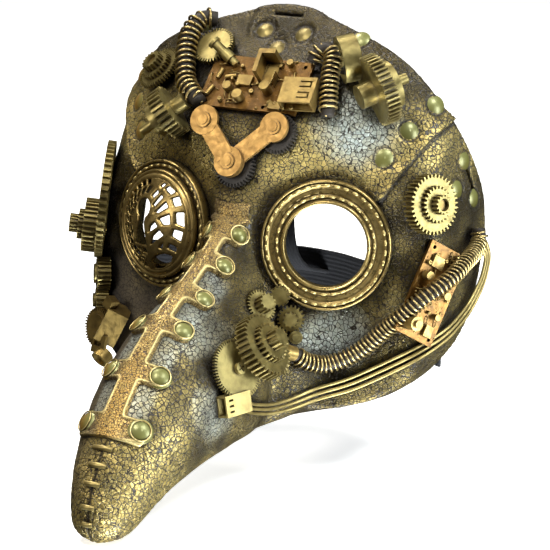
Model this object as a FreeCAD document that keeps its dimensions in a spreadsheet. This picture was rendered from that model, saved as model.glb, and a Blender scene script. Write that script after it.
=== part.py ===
"""Steampunk plague doctor mask: a moulded shell dressed with gears, springs, circuit boards and rivets.

Frame: the origin is midway between the two eye holes, the mask looks along -Y, +X is the wearer's
left and +Z is up. Millimetres. Run as a FreeCAD 1.1 macro, it writes parts/NODE.step for each sub-part.
"""
import FreeCAD, Part
import math
import os
from FreeCAD import Placement, Rotation, Vector

DOC = FreeCAD.newDocument("plague_doctor_mask")
X, Y, Z = Vector(1, 0, 0), Vector(0, 1, 0), Vector(0, 0, 1)
LEFT, RIGHT = 1, -1          # the wearer's sides, as the sign of X

# ------------------------------------------------------------------ driving dimensions
SIZES = {
    "eye_spacing": (82.0, "between the two eye hole centres"),
    "eye_yaw": (18.0, "degrees each eye turns outwards"),
    "eye_pitch": (7.0, "degrees each eye turns up"),
    "eye_seat": (4.0, "the flat seat of the ring behind the eye centre"),
    "eye_hole": (36.0, "clear diameter of an eye ring"),
    "ring_width": (57.0, "outside diameter of an eye ring"),
    "ring_height": (5.4, "thickness of an eye ring"),
    "shell_wall": (2.6, "thickness of the moulded shell"),
    "strap_width": (28.0, "leather band along the beak, across its tabs"),
    "strap_wall": (1.8, "how far the band stands off the shell"),
    "dome_width": (46.0, "filigree dome over the right eye"),
    "dome_rise": (8.0, "height of the filigree dome"),
    "dome_wall": (1.3, "sheet of the filigree dome"),
    "rivet_low": (7.6, "first beak rivet"),
    "rivet_high": (10.8, "last beak rivet"),
    "rivet_rise": (2.4, "height of a domed beak rivet"),
    "stud_width": (8.6, "flat rivets of the forehead and temples"),
    "stud_rise": (1.3, "height of a flat rivet"),
    "stitch_wire": (1.1, "radius of a staple at the beak tip"),
    "board_long": (48.0, "forehead circuit board"),
    "board_wide": (27.0, "forehead circuit board"),
    "board_wall": (1.6, "both circuit boards"),
    "side_board_long": (42.0, "cheek circuit board"),
    "side_board_wide": (21.0, "cheek circuit board"),
    "socket_long": (15.5, "flat socket, across its slots"),
    "socket_deep": (13.0, "flat socket, into its mouth"),
    "socket_high": (7.0, "flat socket"),
    "sheet_metal": (0.9, "sheet of the sockets and brackets"),
    "fork_long": (12.0, "upright socket"),
    "fork_wide": (8.0, "upright socket"),
    "fork_high": (9.0, "upright socket"),
    "brow_coil": (9.6, "outside diameter of the right forehead spring"),
    "side_coil": (8.6, "outside diameter of the left forehead spring"),
    "cheek_coil": (8.0, "outside diameter of the cheek spring"),
    "wire": (1.4, "diameter of a cheek wire"),
    "link_end": (6.6, "end radius of a chain link"),
    "link_waist": (4.2, "half width of a chain link at its waist"),
    "link_wall": (1.6, "plate of a chain link"),
    "pin_head": (6.6, "head of a chain pin"),
    "pin_shank": (4.0, "shank of a chain pin"),
    "post": (3.0, "posts that the loose gears turn on"),
    "running_fit": (0.05, "radial clearance of a gear on its post"),
    "air": (0.5, "gap between a loose gear and what is beside it"),
    "elastic_width": (38.0, "elastic band behind the face"),
    "top_elastic": (26.0, "elastic strap over the head"),
    "elastic_wall": (1.6, "both elastics"),
}
SHEET = DOC.addObject("Spreadsheet::Sheet", "Spec")
for row, (word, (value, note)) in enumerate(SIZES.items(), start=1):
    SHEET.set(f"A{row}", word)
    SHEET.set(f"B{row}", str(value))
    SHEET.set(f"C{row}", note)
    SHEET.setAlias(f"B{row}", word)
DOC.recompute()
NODES = []


def size(word):
    """The sheet's value of one driving dimension."""
    return float(SHEET.get(word))


def bind(item, **formulas):
    """Tie properties of a document object to formulas over the sheet."""
    for prop, formula in formulas.items():
        item.setExpression(prop, formula)
    return item


def node(item, label):
    """Mark a document object as one sub-part, named by its label."""
    item.Label = label
    NODES.append(item)
    return item


# ------------------------------------------------------------------ the skin of the mask
# The beak: ridge (y, z), underside (y, z), half width, how far down it is widest (0 to 1), and how
# full its upper and lower halves are (1 is an ellipse, less is boxier).
BEAK = [
    (-125.0, -100.5, -119.0, -101.2, 3.0, 0.50, 0.95, 1.0),
    (-129.0, -96.5, -111.5, -100.8, 9.5, 0.50, 0.90, 0.95),
    (-130.0, -89.5, -105.0, -98.5, 13.0, 0.50, 0.85, 0.85),
    (-127.5, -79.5, -97.0, -94.5, 16.0, 0.51, 0.85, 0.72),
    (-120.0, -66.0, -87.0, -89.8, 19.5, 0.52, 0.85, 0.62),
    (-107.0, -50.0, -75.0, -86.0, 23.5, 0.54, 0.85, 0.55),
    (-89.0, -34.0, -61.0, -83.5, 27.0, 0.56, 0.85, 0.50),
    (-67.0, -19.5, -46.0, -81.7, 30.0, 0.59, 0.95, 0.48),
    (-44.0, -8.5, -32.0, -80.0, 32.0, 0.63, 1.10, 0.47),
]
# The face: half loops from the top centre round the side to the bottom centre, as (x, y, z). The
# first goes round the beak's root, the last is the rim.
FACE = [
    [(0, -20, 3.5), (6, -18, 2.5), (10, -14, -1), (13, -11.5, -7), (15.5, -12, -15), (19, -15, -25),
     (25, -17.5, -35), (30, -19.5, -46), (33.5, -21, -60), (31, -22, -75), (0, -21, -78.7)],
    [(0, -8, 15), (10, -6, 16), (19, -2.5, 14), (27, 0, 7), (32, 1, -3), (35, 1, -13),
     (37.5, 0, -24), (39, -3, -37), (41, -8, -54), (36, -14, -73.5), (0, -13, -77.8)],
    [(0, -4, 30), (16, -2, 32), (31, 1, 29), (43, 5, 20), (51, 7, 8), (54, 8.5, -6),
     (54, 7, -20), (53, 4, -35), (51, -2, -54), (40, -11, -73), (0, -10, -77)],
    [(0, 2, 48), (21, 4, 50), (42, 9, 46), (58, 13.5, 34), (68, 14, 17), (70.5, 14, -1),
     (71.5, 12, -18), (71, 9, -35), (65, 2, -55), (44, -9, -72.3), (0, -8.5, -76.3)],
    [(0, 16, 64), (25, 17, 66), (50, 21, 60), (68, 25, 46), (77.5, 25, 26), (82, 21, 7),
     (83.5, 19, -13), (83.5, 16, -34), (76, 7, -58), (47, -8, -71.5), (0, -7.5, -75.8)],
    [(0, 33, 79), (29, 30, 77.5), (56, 31, 69.5), (75, 35, 51), (82, 39, 29), (86, 41, 8),
     (86.5, 38, -15), (86.5, 33, -38), (79, 14, -59.5), (49, -7, -70.8), (0, -6.5, -75.4)],
    [(0, 48.4, 94.4), (31, 41.6, 87.8), (60, 38.5, 76), (78.5, 44, 53.5), (85, 57, 31), (88, 64, 9),
     (88, 60, -16), (87, 46, -42), (79, 19, -58.5), (51, -6, -69.8), (0, -6, -75)],
]
HALF = 24                    # steps round half of a loop
SPAN = 3                     # rows from one loop to the next
SEAT_FLAT = 29.5             # the seat of an eye ring is flat out to this radius
SEAT_FADE = 8.0              # and blends into the face over this much more


def curve_point(before, start, end, after, t):
    """A point of the smooth curve through four points, between the middle two."""
    return tuple(
        0.5 * (2 * b + (c - a) * t + (2 * a - 5 * b + 4 * c - d) * t ** 2 + (3 * b - a - 3 * c + d) * t ** 3)
        for a, b, c, d in zip(before, start, end, after))


def ease(t):
    """0 to 1 with flat ends."""
    t = max(0.0, min(1.0, t))
    return t * t * (3 - 2 * t)


def mirrored(p):
    return (-p[0], p[1], p[2])


def beak_loop(ridge_y, ridge_z, under_y, under_z, width, widest, full_top, full_under):
    """Half a cross section of the beak, from its ridge to its underside."""
    half = []
    for step in range(HALF + 1):
        angle = math.pi * step / HALF
        down = ((1 - math.cos(angle)) / 2) ** (math.log(widest) / math.log(0.5))
        upper = 0.5 + 0.5 * max(-1.0, min(1.0, 1.5 * math.cos(angle)))
        power = full_under + (full_top - full_under) * upper
        out = abs(math.sin(angle)) ** power if 0 < step < HALF else 0.0
        half.append((width * out, ridge_y + (under_y - ridge_y) * down,
                     ridge_z + (under_z - ridge_z) * down))
    return half


def face_loop(points):
    """Half a face loop: the smooth curve through its points, mirrored past both ends."""
    spans = len(points) - 1
    path = [mirrored(points[1])] + list(points) + [mirrored(points[-2])]
    half = []
    for step in range(HALF + 1):
        place = step * spans / HALF
        i = min(int(place), spans - 1)
        half.append(curve_point(*path[i:i + 4], place - i))
    return half


def eye_frame(side):
    """Centre and outward axis of an eye."""
    yaw, pitch = math.radians(size("eye_yaw")), math.radians(size("eye_pitch"))
    axis = Vector(side * math.sin(yaw) * math.cos(pitch), -math.cos(yaw) * math.cos(pitch), math.sin(pitch))
    return Vector(side * size("eye_spacing") / 2, 0, 0), axis


def seated(p):
    """Press a skin point into the flat seat of the eye ring on its side."""
    centre, axis = eye_frame(LEFT if p[0] >= 0 else RIGHT)
    arm = Vector(*p) - centre
    height = arm.dot(axis)
    radius = (arm - axis * height).Length
    if abs(height) > size("eye_hole"):
        return p
    press = (1 - ease((radius - SEAT_FLAT) / SEAT_FADE)) * (-size("eye_seat") - height)
    return tuple(Vector(*p) + axis * press)


def skin_rows():
    """All the rows of skin points, from the beak's tip to the rim, each a closed loop."""
    loops = [beak_loop(*section) for section in BEAK] + [face_loop(points) for points in FACE]
    last = len(loops) - 1
    halves = []
    for i in range(last):
        near = [loops[max(i - 1, 0)], loops[i], loops[i + 1], loops[min(i + 2, last)]]
        for k in range(SPAN):
            halves.append([curve_point(*points, k / SPAN) for points in zip(*near)])
    halves.append(loops[last])
    rows = []
    for half in halves:
        half = [seated(p) for p in half]
        half[0], half[-1] = (0.0,) + half[0][1:], (0.0,) + half[-1][1:]
        rows.append([Vector(*p) for p in half + [mirrored(p) for p in half[-2:0:-1]]])
    return rows


def smooth_surface(rows):
    """A cubic surface that follows the rows, closed round each row."""
    count, round_count = len(rows), len(rows[0])
    surface = Part.BSplineSurface()
    surface.buildFromPolesMultsKnots(
        rows, [4] + [1] * (count - 4) + [4], [1] * (round_count + 1),
        [float(k) for k in range(count - 2)], [float(k) for k in range(round_count + 1)], False, True, 3, 3)
    return surface


def inner_rows(rows, wall):
    """The rows moved inwards by the wall, with a flat first row where the beak's tip is solid."""
    start = 2 * SPAN
    count = len(rows[0])
    middle = sum(rows[start], Vector()) * (1.0 / count)
    moved = [[middle + (p - middle) * 0.7 for p in rows[start]]]
    for i in range(start + 1, len(rows)):
        after = rows[min(i + 1, len(rows) - 1)]
        row = []
        for j in range(count):
            along = after[j] - rows[i - 1][j]
            around = rows[i][(j + 1) % count] - rows[i][j - 1]
            row.append(rows[i][j] + along.cross(around).normalize() * wall)
        moved.append(row)
    return moved


ROWS = skin_rows()
SKIN = smooth_surface(ROWS)
U_END = float(len(ROWS) - 3)
V_END = float(2 * HALF)


def outward(u, v):
    """The skin's outward normal."""
    along = SKIN.value(min(u + 0.05, U_END), v) - SKIN.value(max(u - 0.05, 0.0), v)
    around = SKIN.value(u, (v + 0.05) % V_END) - SKIN.value(u, (v - 0.05) % V_END)
    return around.cross(along).normalize()


def ridge_line():
    """The v of the ridge: where the skin's top crosses the middle plane."""
    steps = [V_END * k / 400 for k in range(400)]
    tops = [v for v in steps if abs(SKIN.value(U_END / 2, v).x) < 1.0]
    low = max(tops, key=lambda v: SKIN.value(U_END / 2, v).z)
    return min((low + 0.002 * k for k in range(-200, 201)),
               key=lambda v: abs(SKIN.value(U_END / 2, v % V_END).x))


RIDGE_V = ridge_line()
GRID = [[SKIN.value(U_END * i / 60, V_END * j / 96) for j in range(96)] for i in range(61)]


def on_skin(start, ray):
    """Where a ray first meets the skin, and the skin's outward normal there."""
    best = None
    for i in range(60):
        for j in range(96):
            a, b = GRID[i][j], GRID[i][(j + 1) % 96]
            c, d = GRID[i + 1][(j + 1) % 96], GRID[i + 1][j]
            for p, q, r in ((a, b, c), (a, c, d)):
                normal = (q - p).cross(r - p)
                slope = normal.dot(ray)
                if abs(slope) < 1e-9:
                    continue
                away = normal.dot(p - start) / slope
                if best is not None and away >= best:
                    continue
                hit = start + ray * away
                if all((t - s).cross(hit - s).dot(normal) > -1e-6 for s, t in ((p, q), (q, r), (r, p))):
                    best = away
    u, v = SKIN.parameter(start + ray * best)
    return SKIN.value(u, v), outward(u, v)


def front(x, z):
    """Skin point and normal seen from the front at x, z."""
    return on_skin(Vector(x, -400, z), Y)


def flank(side, y, z):
    """Skin point and normal seen from one side at y, z."""
    return on_skin(Vector(side * 400, y, z), X * -side)


def axes_at(point, axis, hint=Z):
    """A placement whose local Z is the axis and whose local X is as near the hint as can be."""
    z = Vector(axis).normalize()
    x = (Vector(hint) - z * z.dot(hint)).normalize()
    return Placement(point, Rotation(x, z.cross(x), z, "ZXY"))


def lifted(spot, lift, hint=Z, axis=None):
    """A placement on a skin spot (point, normal), lifted along its normal."""
    point, normal = spot
    return axes_at(point + normal * lift, axis or normal, hint)


# ------------------------------------------------------------------ building blocks
def cylinder(name, place, radius, height):
    item = bind(DOC.addObject("Part::Cylinder", name), Radius=radius, Height=height)
    item.Placement = place
    return item


def box(name, place, length, width, height):
    """A box centred on its placement in X and Y, standing on it in Z."""
    item = bind(DOC.addObject("Part::Box", name), Length=length, Width=width, Height=height)
    DOC.recompute([item])
    corner = Placement(Vector(-item.Length.Value / 2, -item.Width.Value / 2, 0), Rotation())
    item.Placement = place.multiply(corner)
    return item


def moved(place, x=0.0, y=0.0, z=0.0, turn=0.0):
    """A placement shifted in its own axes and turned about its own Z."""
    return place.multiply(Placement(Vector(x, y, z), Rotation(Z, turn)))


def group(name, items):
    item = DOC.addObject("Part::Compound", name)
    item.Links = items
    return item


def fused(name, items):
    item = DOC.addObject("Part::MultiFuse", name)
    item.Shapes = items
    return item


def cut(name, base, tools):
    item = DOC.addObject("Part::Cut", name)
    item.Base = base
    item.Tool = tools[0] if len(tools) == 1 else fused(name + "_tools", tools)
    return item


def solid(name, shape, place=None):
    item = DOC.addObject("Part::Feature", name)
    item.Shape = shape
    if place is not None:
        item.Placement = place
    return item


def plane_sketch(body, name, role, offset=0.0):
    """A sketch on one of a body's own origin planes."""
    plane = next(f for f in body.Origin.OriginFeatures if f.Role == role)
    sketch = body.newObject("Sketcher::SketchObject", name)
    sketch.AttachmentSupport = (plane, "")
    sketch.MapMode = "FlatFace"
    sketch.AttachmentOffset = Placement(Vector(0, 0, offset), Rotation())
    return sketch


def polygon(sketch, points):
    ends = points[1:] + points[:1]
    sketch.addGeometry([Part.LineSegment(Vector(*p, 0), Vector(*q, 0)) for p, q in zip(points, ends)])


def turned(name, profile, place):
    """A body turned about its Z from a profile of (radius, height) points."""
    body = DOC.addObject("PartDesign::Body", name)
    sketch = plane_sketch(body, name + "_profile", "XZ_Plane")
    polygon(sketch, profile)
    spin = body.newObject("PartDesign::Revolution", name + "_turn")
    spin.Profile = sketch
    spin.ReferenceAxis = (sketch, ["V_Axis"])
    spin.Angle = 360
    body.Tip = spin
    body.Placement = place
    return body


def tooth_ring(teeth, root, tip):
    """The outline of a spur gear: each tooth tapers from half its pitch to a quarter."""
    pitch = 2 * math.pi / teeth
    outline = []
    for k in range(teeth):
        for share, radius in ((-0.27, root), (-0.14, tip), (0.14, tip), (0.27, root)):
            angle = (k + share) * pitch
            outline.append((radius * math.cos(angle), radius * math.sin(angle)))
    return outline


def gear(name, place, stages, bores=()):
    """A gear of one or more stages, each (teeth, tip diameter, thickness); no teeth makes a plain collar."""
    body = DOC.addObject("PartDesign::Body", name)
    level = 0.0
    for k, (teeth, across, thick) in enumerate(stages):
        tip = across / 2
        depth = min(1.5, 0.13 * tip + 0.25)
        sketch = plane_sketch(body, f"{name}_outline{k}", "XY_Plane", level)
        if teeth:
            polygon(sketch, tooth_ring(teeth, tip - depth, tip))
        else:
            sketch.addGeometry(Part.Circle(Vector(), Z, tip))
        if bores:
            sketch.addGeometry(Part.Circle(Vector(), Z, bores[k] / 2))
        pad = body.newObject("PartDesign::Pad", f"{name}_stage{k}")
        pad.Profile = sketch
        pad.Length = thick
        level += thick
        body.Tip = pad
    body.Placement = place
    return body


def dome(name, spot, across, rise, sink=0.6):
    """A domed head: the cap of a sphere, its rim sunk into the skin."""
    radius = (across ** 2 / 4 + rise ** 2) / (2 * rise)
    item = DOC.addObject("Part::Sphere", name)
    item.Radius = radius
    item.Angle1 = math.degrees(math.asin(1 - rise / radius))
    item.Placement = lifted(spot, rise - sink - radius)
    return item


def tube(name, points, radius):
    """A round tube along straight runs joined by tangent arcs, each arc as large as its runs allow."""
    points = [Vector(*p) for p in points]
    runs = [(b - a).Length for a, b in zip(points, points[1:])]
    edges, start = [], points[0]
    for i in range(1, len(points) - 1):
        back, ahead = points[i - 1] - points[i], points[i + 1] - points[i]
        reach = 0.45 * min(runs[i - 1], runs[i])
        turn = math.pi - back.getAngle(ahead)
        p = points[i] + back.normalize() * reach
        q = points[i] + ahead.normalize() * reach
        halfway = (p + q) * 0.5
        out = points[i] - halfway
        bulge = (p - halfway).Length * math.tan(turn / 4)
        edges.append(Part.LineSegment(start, p).toShape())
        edges.append(Part.Arc(p, halfway + out.normalize() * bulge, q).toShape())
        start = q
    edges.append(Part.LineSegment(start, points[-1]).toShape())
    path = Part.Wire(edges)
    ring = Part.Wire([Part.Circle(points[0], points[1] - points[0], radius).toShape()])
    shape = path.makePipeShell([ring], True, False)
    print(f"{name}: {path.Length:.1f} mm long")
    return solid(name, shape)


# ------------------------------------------------------------------ shell, band, rings
def skin_face(surface):
    """A closed skin's face, the flat cap of its small end, and the edge of its open end."""
    face = surface.toShape().Faces[0]
    small, wide = sorted((e for e in face.Edges if e.isClosed() and not e.isSeam(face)),
                         key=lambda e: e.Length)
    return face, Part.Face(Part.Wire([small])), wide


def sewn_solid(faces):
    """The solid that the faces close."""
    sewn = Part.makeShell(faces)
    sewn.sewShape()
    closed = Part.Solid(Part.Shell(sewn.Faces))
    if closed.Volume < 0:
        closed.reverse()
    return closed


def shell_blank():
    """The wall of the mask: outer skin, inner skin, the rim between them and the two tip caps."""
    outer, outer_cap, outer_rim = skin_face(SKIN)
    inner, inner_cap, inner_rim = skin_face(smooth_surface(inner_rows(ROWS, size("shell_wall"))))
    rim = Part.makeRuledSurface(outer_rim, inner_rim).Faces[0]
    return sewn_solid([outer, outer_cap, inner, inner_cap, rim])


def skin_core():
    """What the middle of the wall encloses, closed behind: taken out of the pieces sunk into the shell."""
    face, cap, rim = skin_face(smooth_surface(inner_rows(ROWS, size("shell_wall") / 2)))
    spot = Part.Circle(Vector(0, 40, 0), Y, 1.0).toShape()
    back = Part.makeRuledSurface(rim, spot).Faces[0]
    return sewn_solid([face, cap, back, Part.Face(Part.Wire([spot]))])


def mask_shell():
    tools = []
    for side in (LEFT, RIGHT):
        centre, axis = eye_frame(side)
        tools.append(cylinder(f"eye_cutter{side}", axes_at(centre - axis * 20, axis),
                              "Spec.eye_hole / 2 + 1", "40"))
        slot = lifted(flank(side, 52.5, 24.0), -8, Vector(0, -0.35, 1))
        tools.append(box(f"side_slot{side}", slot, "13", "2.4", "16"))
    tools.append(box("crown_slot", lifted(front(0, 90.2), -8, X), "15", "2.5", "16"))
    return node(cut("shell_cut", solid("shell_blank", shell_blank()), tools), "mask_shell")


def ridge_u(height):
    """The skin's u where its ridge reaches a height."""
    low, high = 0.0, U_END
    for _ in range(40):
        middle = (low + high) / 2
        if SKIN.value(middle, RIDGE_V).z < height:
            low = middle
        else:
            high = middle
    return low


def off_ridge(u, distance):
    """The skin's v at a distance along the skin from the ridge, to the left if positive."""
    v, walked, step = RIDGE_V, 0.0, 0.02
    toward = 1 if SKIN.value(u, (RIDGE_V + 1) % V_END).x > 0 else -1
    toward *= 1 if distance > 0 else -1
    here = SKIN.value(u, v % V_END)
    while walked < abs(distance):
        v += toward * step
        there = SKIN.value(u, v % V_END)
        walked += (there - here).Length
        here = there
    return v % V_END


BAND_TOP, BAND_END = 16.0, -58.5         # heights of the band's two ends on the ridge
RIVETS = [(4.5, 7.5), (-3.2, 8.7), (-12.2, 9.8), (-22.0, 10.6), (-36.5, 11.5),
          (-54.0, 12.6)]  # height, way out
STAPLES = [-62.4, -68.4, -75.2, -84.0, -91.0]


def band_half(share, height):
    """Half width of the band: wider at its lower end, with a round tab at each rivet."""
    tab = max(math.exp(-((height - rivet) / (3.4 + 1.4 * share)) ** 2) for rivet, _ in RIVETS)
    return size("strap_width") / 2 * (0.62 + 0.26 * share) + 4.0 * tab


def patch_solid(low, high):
    """A closed solid between two grids of points of the same make."""
    lower, upper = Part.BSplineSurface(), Part.BSplineSurface()
    lower.interpolate(low)
    upper.interpolate(high)
    under, over = lower.toShape().Faces[0], upper.toShape().Faces[0]
    walls = [Part.makeRuledSurface(a, b).Faces[0] for a, b in zip(under.Edges, over.Edges)]
    return sewn_solid([under, over] + walls)


def bridge_strap():
    rows, lanes = 61, 8
    u_top, u_end = ridge_u(BAND_TOP), ridge_u(BAND_END)
    low, high = [], []
    for i in range(rows):
        share = i / (rows - 1)
        u = u_top + (u_end - u_top) * share
        half = band_half(share, SKIN.value(u, RIDGE_V).z)
        under, over = [], []
        for k in range(-lanes, lanes + 1):
            v = off_ridge(u, half * k / lanes)
            point, normal = SKIN.value(u, v), outward(u, v)
            under.append(point - normal * 0.4)
            over.append(point + normal * size("strap_wall"))
        low.append(under)
        high.append(over)
    return node(solid("band", patch_solid(low, high)), "bridge_strap")


def bridge_rivets():
    heads = []
    for k, (height, out) in enumerate(RIVETS):
        u = ridge_u(height)
        across = size("rivet_low") + (size("rivet_high") - size("rivet_low")) * k / (len(RIVETS) - 1)
        for side in (LEFT, RIGHT):
            v = off_ridge(u, side * out)
            normal = outward(u, v)
            spot = (SKIN.value(u, v) + normal * size("strap_wall"), normal)
            heads.append(dome(f"bridge_rivet{k}{side}", spot, across, size("rivet_rise"), 0.7))
    return node(group("bridge_rivet_set", heads), "bridge_rivets")


def tip_stitches():
    """Staples across the seam at the beak's tip, each a short arc of wire sunk at both ends."""
    staples = []
    for k, height in enumerate(STAPLES):
        u = ridge_u(height)
        point, normal = SKIN.value(u, RIDGE_V), outward(u, RIDGE_V)
        along = SKIN.value(u + 0.3, RIDGE_V) - SKIN.value(u - 0.3, RIDGE_V)
        bend = 10.0 - 1.2 * k
        staple = bind(DOC.addObject("Part::Torus", f"staple{k}"), Radius2="Spec.stitch_wire")
        staple.Radius1 = bend
        staple.Angle3 = 50
        place = axes_at(point + normal * (0.5 - bend), along, normal)
        staple.Placement = moved(place, turn=-25)
        staples.append(staple)
    return node(group("staples", staples), "tip_stitches")


def eye_rings():
    inner, outer, high = size("eye_hole") / 2, size("ring_width") / 2, size("ring_height")
    profile = [(inner, 0), (outer, 0), (outer, high - 2.2), (outer - 0.9, high - 0.9),
               (outer - 2.4, high - 0.9),
               (outer - 3.2, high - 1.8), (inner + 3.0, high - 1.4), (inner + 2.2, high),
               (inner + 0.7, high),
               (inner, high - 0.8)]
    for side, word in ((LEFT, "left"), (RIGHT, "right")):
        centre, axis = eye_frame(side)
        base = axes_at(centre - axis * (size("eye_seat") + 0.3), axis)
        node(turned(f"ring{side}", profile, base), f"eye_ring_{word}")


def filigree_dome():
    """A domed grille over the right eye: a bezel and a pierced spherical cap."""
    rise, wall, half = size("dome_rise"), size("dome_wall"), size("dome_width") / 2
    radius = (half ** 2 + rise ** 2) / (2 * rise)
    centre, axis = eye_frame(RIGHT)
    foot = axes_at(centre + axis * (size("ring_height") - size("eye_seat") - 1.1), axis)
    bezel = turned("bezel", [(half - 2.6, 0), (half + 1.2, 0), (half + 1.2, 1.4), (half, 2.6),
                             (half - 2.6, 2.6)], foot)
    arc = []
    for rim, steps in ((radius, range(0, 9)), (radius - wall, range(8, -1, -1))):
        widest = math.asin((half - 0.6) / radius)
        for k in steps:
            angle = widest * k / 8
            arc.append((rim * math.sin(angle), rim * math.cos(angle) - radius + rise + 1.4))
    cap = turned("dome_cap", arc, foot)
    holes = [cylinder("keyhole", moved(foot, 3.5, 9.0, -4), "3.4", "20"),
             box("keyway", moved(foot, -3.5, 9.0, -4), "11", "4.2", "20"),
             cylinder("side_port", moved(foot, -13.0, -10.5, -4), "4.2", "20")]
    spokes = [(0.50, k) for k in range(2, 7)] + [(0.80, k) for k in range(1, 13) if k not in (7, 8)]
    for share, k in spokes:
        angle = math.radians(30 * k + 195)
        reach = share * half
        spot = moved(foot, reach * math.cos(angle), reach * math.sin(angle), -4)
        holes.append(cylinder(f"window{int(share * 100)}_{k}", spot,
                              f"Spec.dome_width * {0.045 + 0.02 * share}", "20"))
    grille = fused("grille", [bezel, cap])
    return node(cut("dome_cut", grille, holes), "filigree_dome")


def studs(label, spots):
    heads = [dome(f"{label}{k}", spot, size("stud_width"), size("stud_rise"), 0.5) for k,
             spot in enumerate(spots)]
    return node(group(label + "_set", heads), label)


def flat_rivets():
    studs("crown_rivets", [front(-8.3, 83.7), front(10.8, 83.5), front(0.8, 77.6)])
    brow = [(38.2, 83.4), (74.0, 57.5), (67.7, 48.1), (60.7, 37.4)]
    studs("brow_rivets", [front(side * x, z) for side in (LEFT, RIGHT) for x, z in brow])
    temple = [(49.5, 32.0), (41.5, 21.0), (54.0, 14.3)]
    studs("temple_rivets", [flank(side, y, z) for side in (LEFT, RIGHT) for y, z in temple])


# ------------------------------------------------------------------ forehead
def board_frame():
    return lifted(front(0.0, 62.8), 0.9, X)


def circuit_board():
    base = board_frame()
    plate = box("board_plate", base, "Spec.board_long", "Spec.board_wide", "Spec.board_wall")
    holes = [cylinder(f"board_hole{k}", moved(base, x, y, -1), "0.9", "4") for k, (x, y) in
             enumerate([(-20.5, 11), (20.5, 11), (-20.5, -11), (8, -11.5), (-2, 10.5)])]
    return node(cut("board_cut", plate, holes), "circuit_board")


def board_components():
    """Round capacitors, resistors, chips and a row of bent pins on the forehead board."""
    top = moved(board_frame(), z=size("board_wall"))
    pieces = []
    for k, (x, y, radius, high) in enumerate([(-4.5, -8.5, 2.3, 4.5), (7.5, -3.5, 2.3, 5.5),
                                              (-11.5, -4.0, 2.0, 3.5),
                                              (13.5, 11.5, 1.5, 2.5), (-13.0, 8.5, 1.2, 2.2)]):
        pieces.append(cylinder(f"capacitor{k}", moved(top, x, y), str(radius), str(high)))
    for k, (x, y, turn) in enumerate([(-18.5, 3.0, 80), (-20.0, -6.0, 70), (-12.5, 2.0, 15)]):
        lying = moved(top, x, y, 0.9, turn).multiply(Placement(Vector(-2.5, 0, 0), Rotation(Y, 90)))
        pieces.append(cylinder(f"resistor{k}", lying, "0.95", "5"))
    for k, (x, y, length, width) in enumerate([(-5.0, 0.5, 7, 5), (1.0, 7.5, 5, 4), (14.0, -11.0, 6, 3.5)]):
        pieces.append(box(f"chip{k}", moved(top, x, y), str(length), str(width), "1.8"))
    for k in range(6):
        pieces.append(cylinder(f"pin{k}", moved(top, 9.8, 4.4 - 2.0 * k / 2), "0.35", "5"))
    return node(group("component_set", pieces), "board_components")


def sockets():
    """A flat socket with four spring slots, and an upright one, both of folded sheet metal."""
    top = moved(board_frame(), z=size("board_wall"))
    flat = moved(top, 25.0, -5.2, 0.0, 4)
    case = box("socket_case", flat, "Spec.socket_long", "Spec.socket_deep", "Spec.socket_high")
    mouth = box("socket_mouth", moved(flat, 0, -2.0, 0.9), "Spec.socket_long - 2 * Spec.sheet_metal",
                "Spec.socket_deep", "Spec.socket_high - 2 * Spec.sheet_metal")
    slots = []
    for k, y in enumerate((3.0, -2.6)):
        slots.append(box(f"tongue_end{k}", moved(flat, 5.6, y, 5), "0.8", "3.4", "4"))
        for side in (LEFT, RIGHT):
            slots.append(box(f"tongue_side{k}{side}", moved(flat, 3.2, y + 1.3 * side, 5), "5.6", "0.8",
                             "4"))
    node(cut("socket_cut", case, [mouth] + slots), "flat_socket")
    up = moved(top, 5.0, 7.0, 0.0, 4)
    fork = box("fork_case", up, "Spec.fork_wide", "Spec.fork_long", "Spec.fork_high")
    gap = box("fork_gap", moved(up, 0.9, -1.4, 1.2), "Spec.fork_wide - 2 * Spec.sheet_metal",
              "Spec.fork_long - 2 * Spec.sheet_metal", "Spec.fork_high")
    node(cut("fork_cut", fork, [gap]), "upright_socket")


def forehead_bits():
    """The toothed disc and the stepped bolt on the right of the forehead."""
    disc = lifted(front(-26.9, 74.6), 1.6)
    node(gear("disc_gear", disc, [(40, 19.0, 2.6)]), "forehead_disc_gear")
    head, tail = Vector(-24.5, 19.5, 80.0), Vector(-12.5, 18.8, 71.0)
    profile = [(0, 0), (3.0, 0), (3.0, 1.3), (2.1, 1.3), (2.1, 7.0), (2.6, 7.0), (2.6, 11.5), (1.7, 11.5),
               (1.7, 15.0), (0, 15.0)]
    node(turned("bolt", profile, axes_at(head, tail - head)), "stepped_bolt")


BROW_COIL = [(-31.5, 35.5, 87.0), (-37.0, 31.5, 87.4), (-39.5, 25.5, 82.0), (-38.3, 19.3, 75.2),
             (-35.6, 13.8, 69.0),
             (-32.4, 8.8, 63.2), (-27.0, 4.6, 59.2), (-21.8, 2.0, 56.4)]
SIDE_COIL = [(24.0, 20.4, 74.6), (26.0, 22.4, 78.8), (29.8, 24.0, 80.8), (33.4, 21.6, 77.8),
             (34.6, 16.6, 71.8),
             (36.0, 12.4, 65.4), (37.4, 9.0, 59.6), (38.2, 6.8, 55.4)]
CHEEK_COIL = [(36.2, -19.0, -44.2), (39.8, -14.9, -48.2), (45.4, -9.2, -50.2), (51.6, -5.2, -48.4),
              (59.4, -1.3, -43.6),
              (68.8, 2.0, -34.6), (77.0, 3.0, -26.8), (84.0, 5.6, -20.0), (89.7, 11.4, -15.2),
              (92.9, 19.0, -11.4), (93.6, 28.6, -8.2), (93.0, 40.0, -6.2), (92.2, 47.5, -2.8), (91.2, 49.4, 2.6)]


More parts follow.
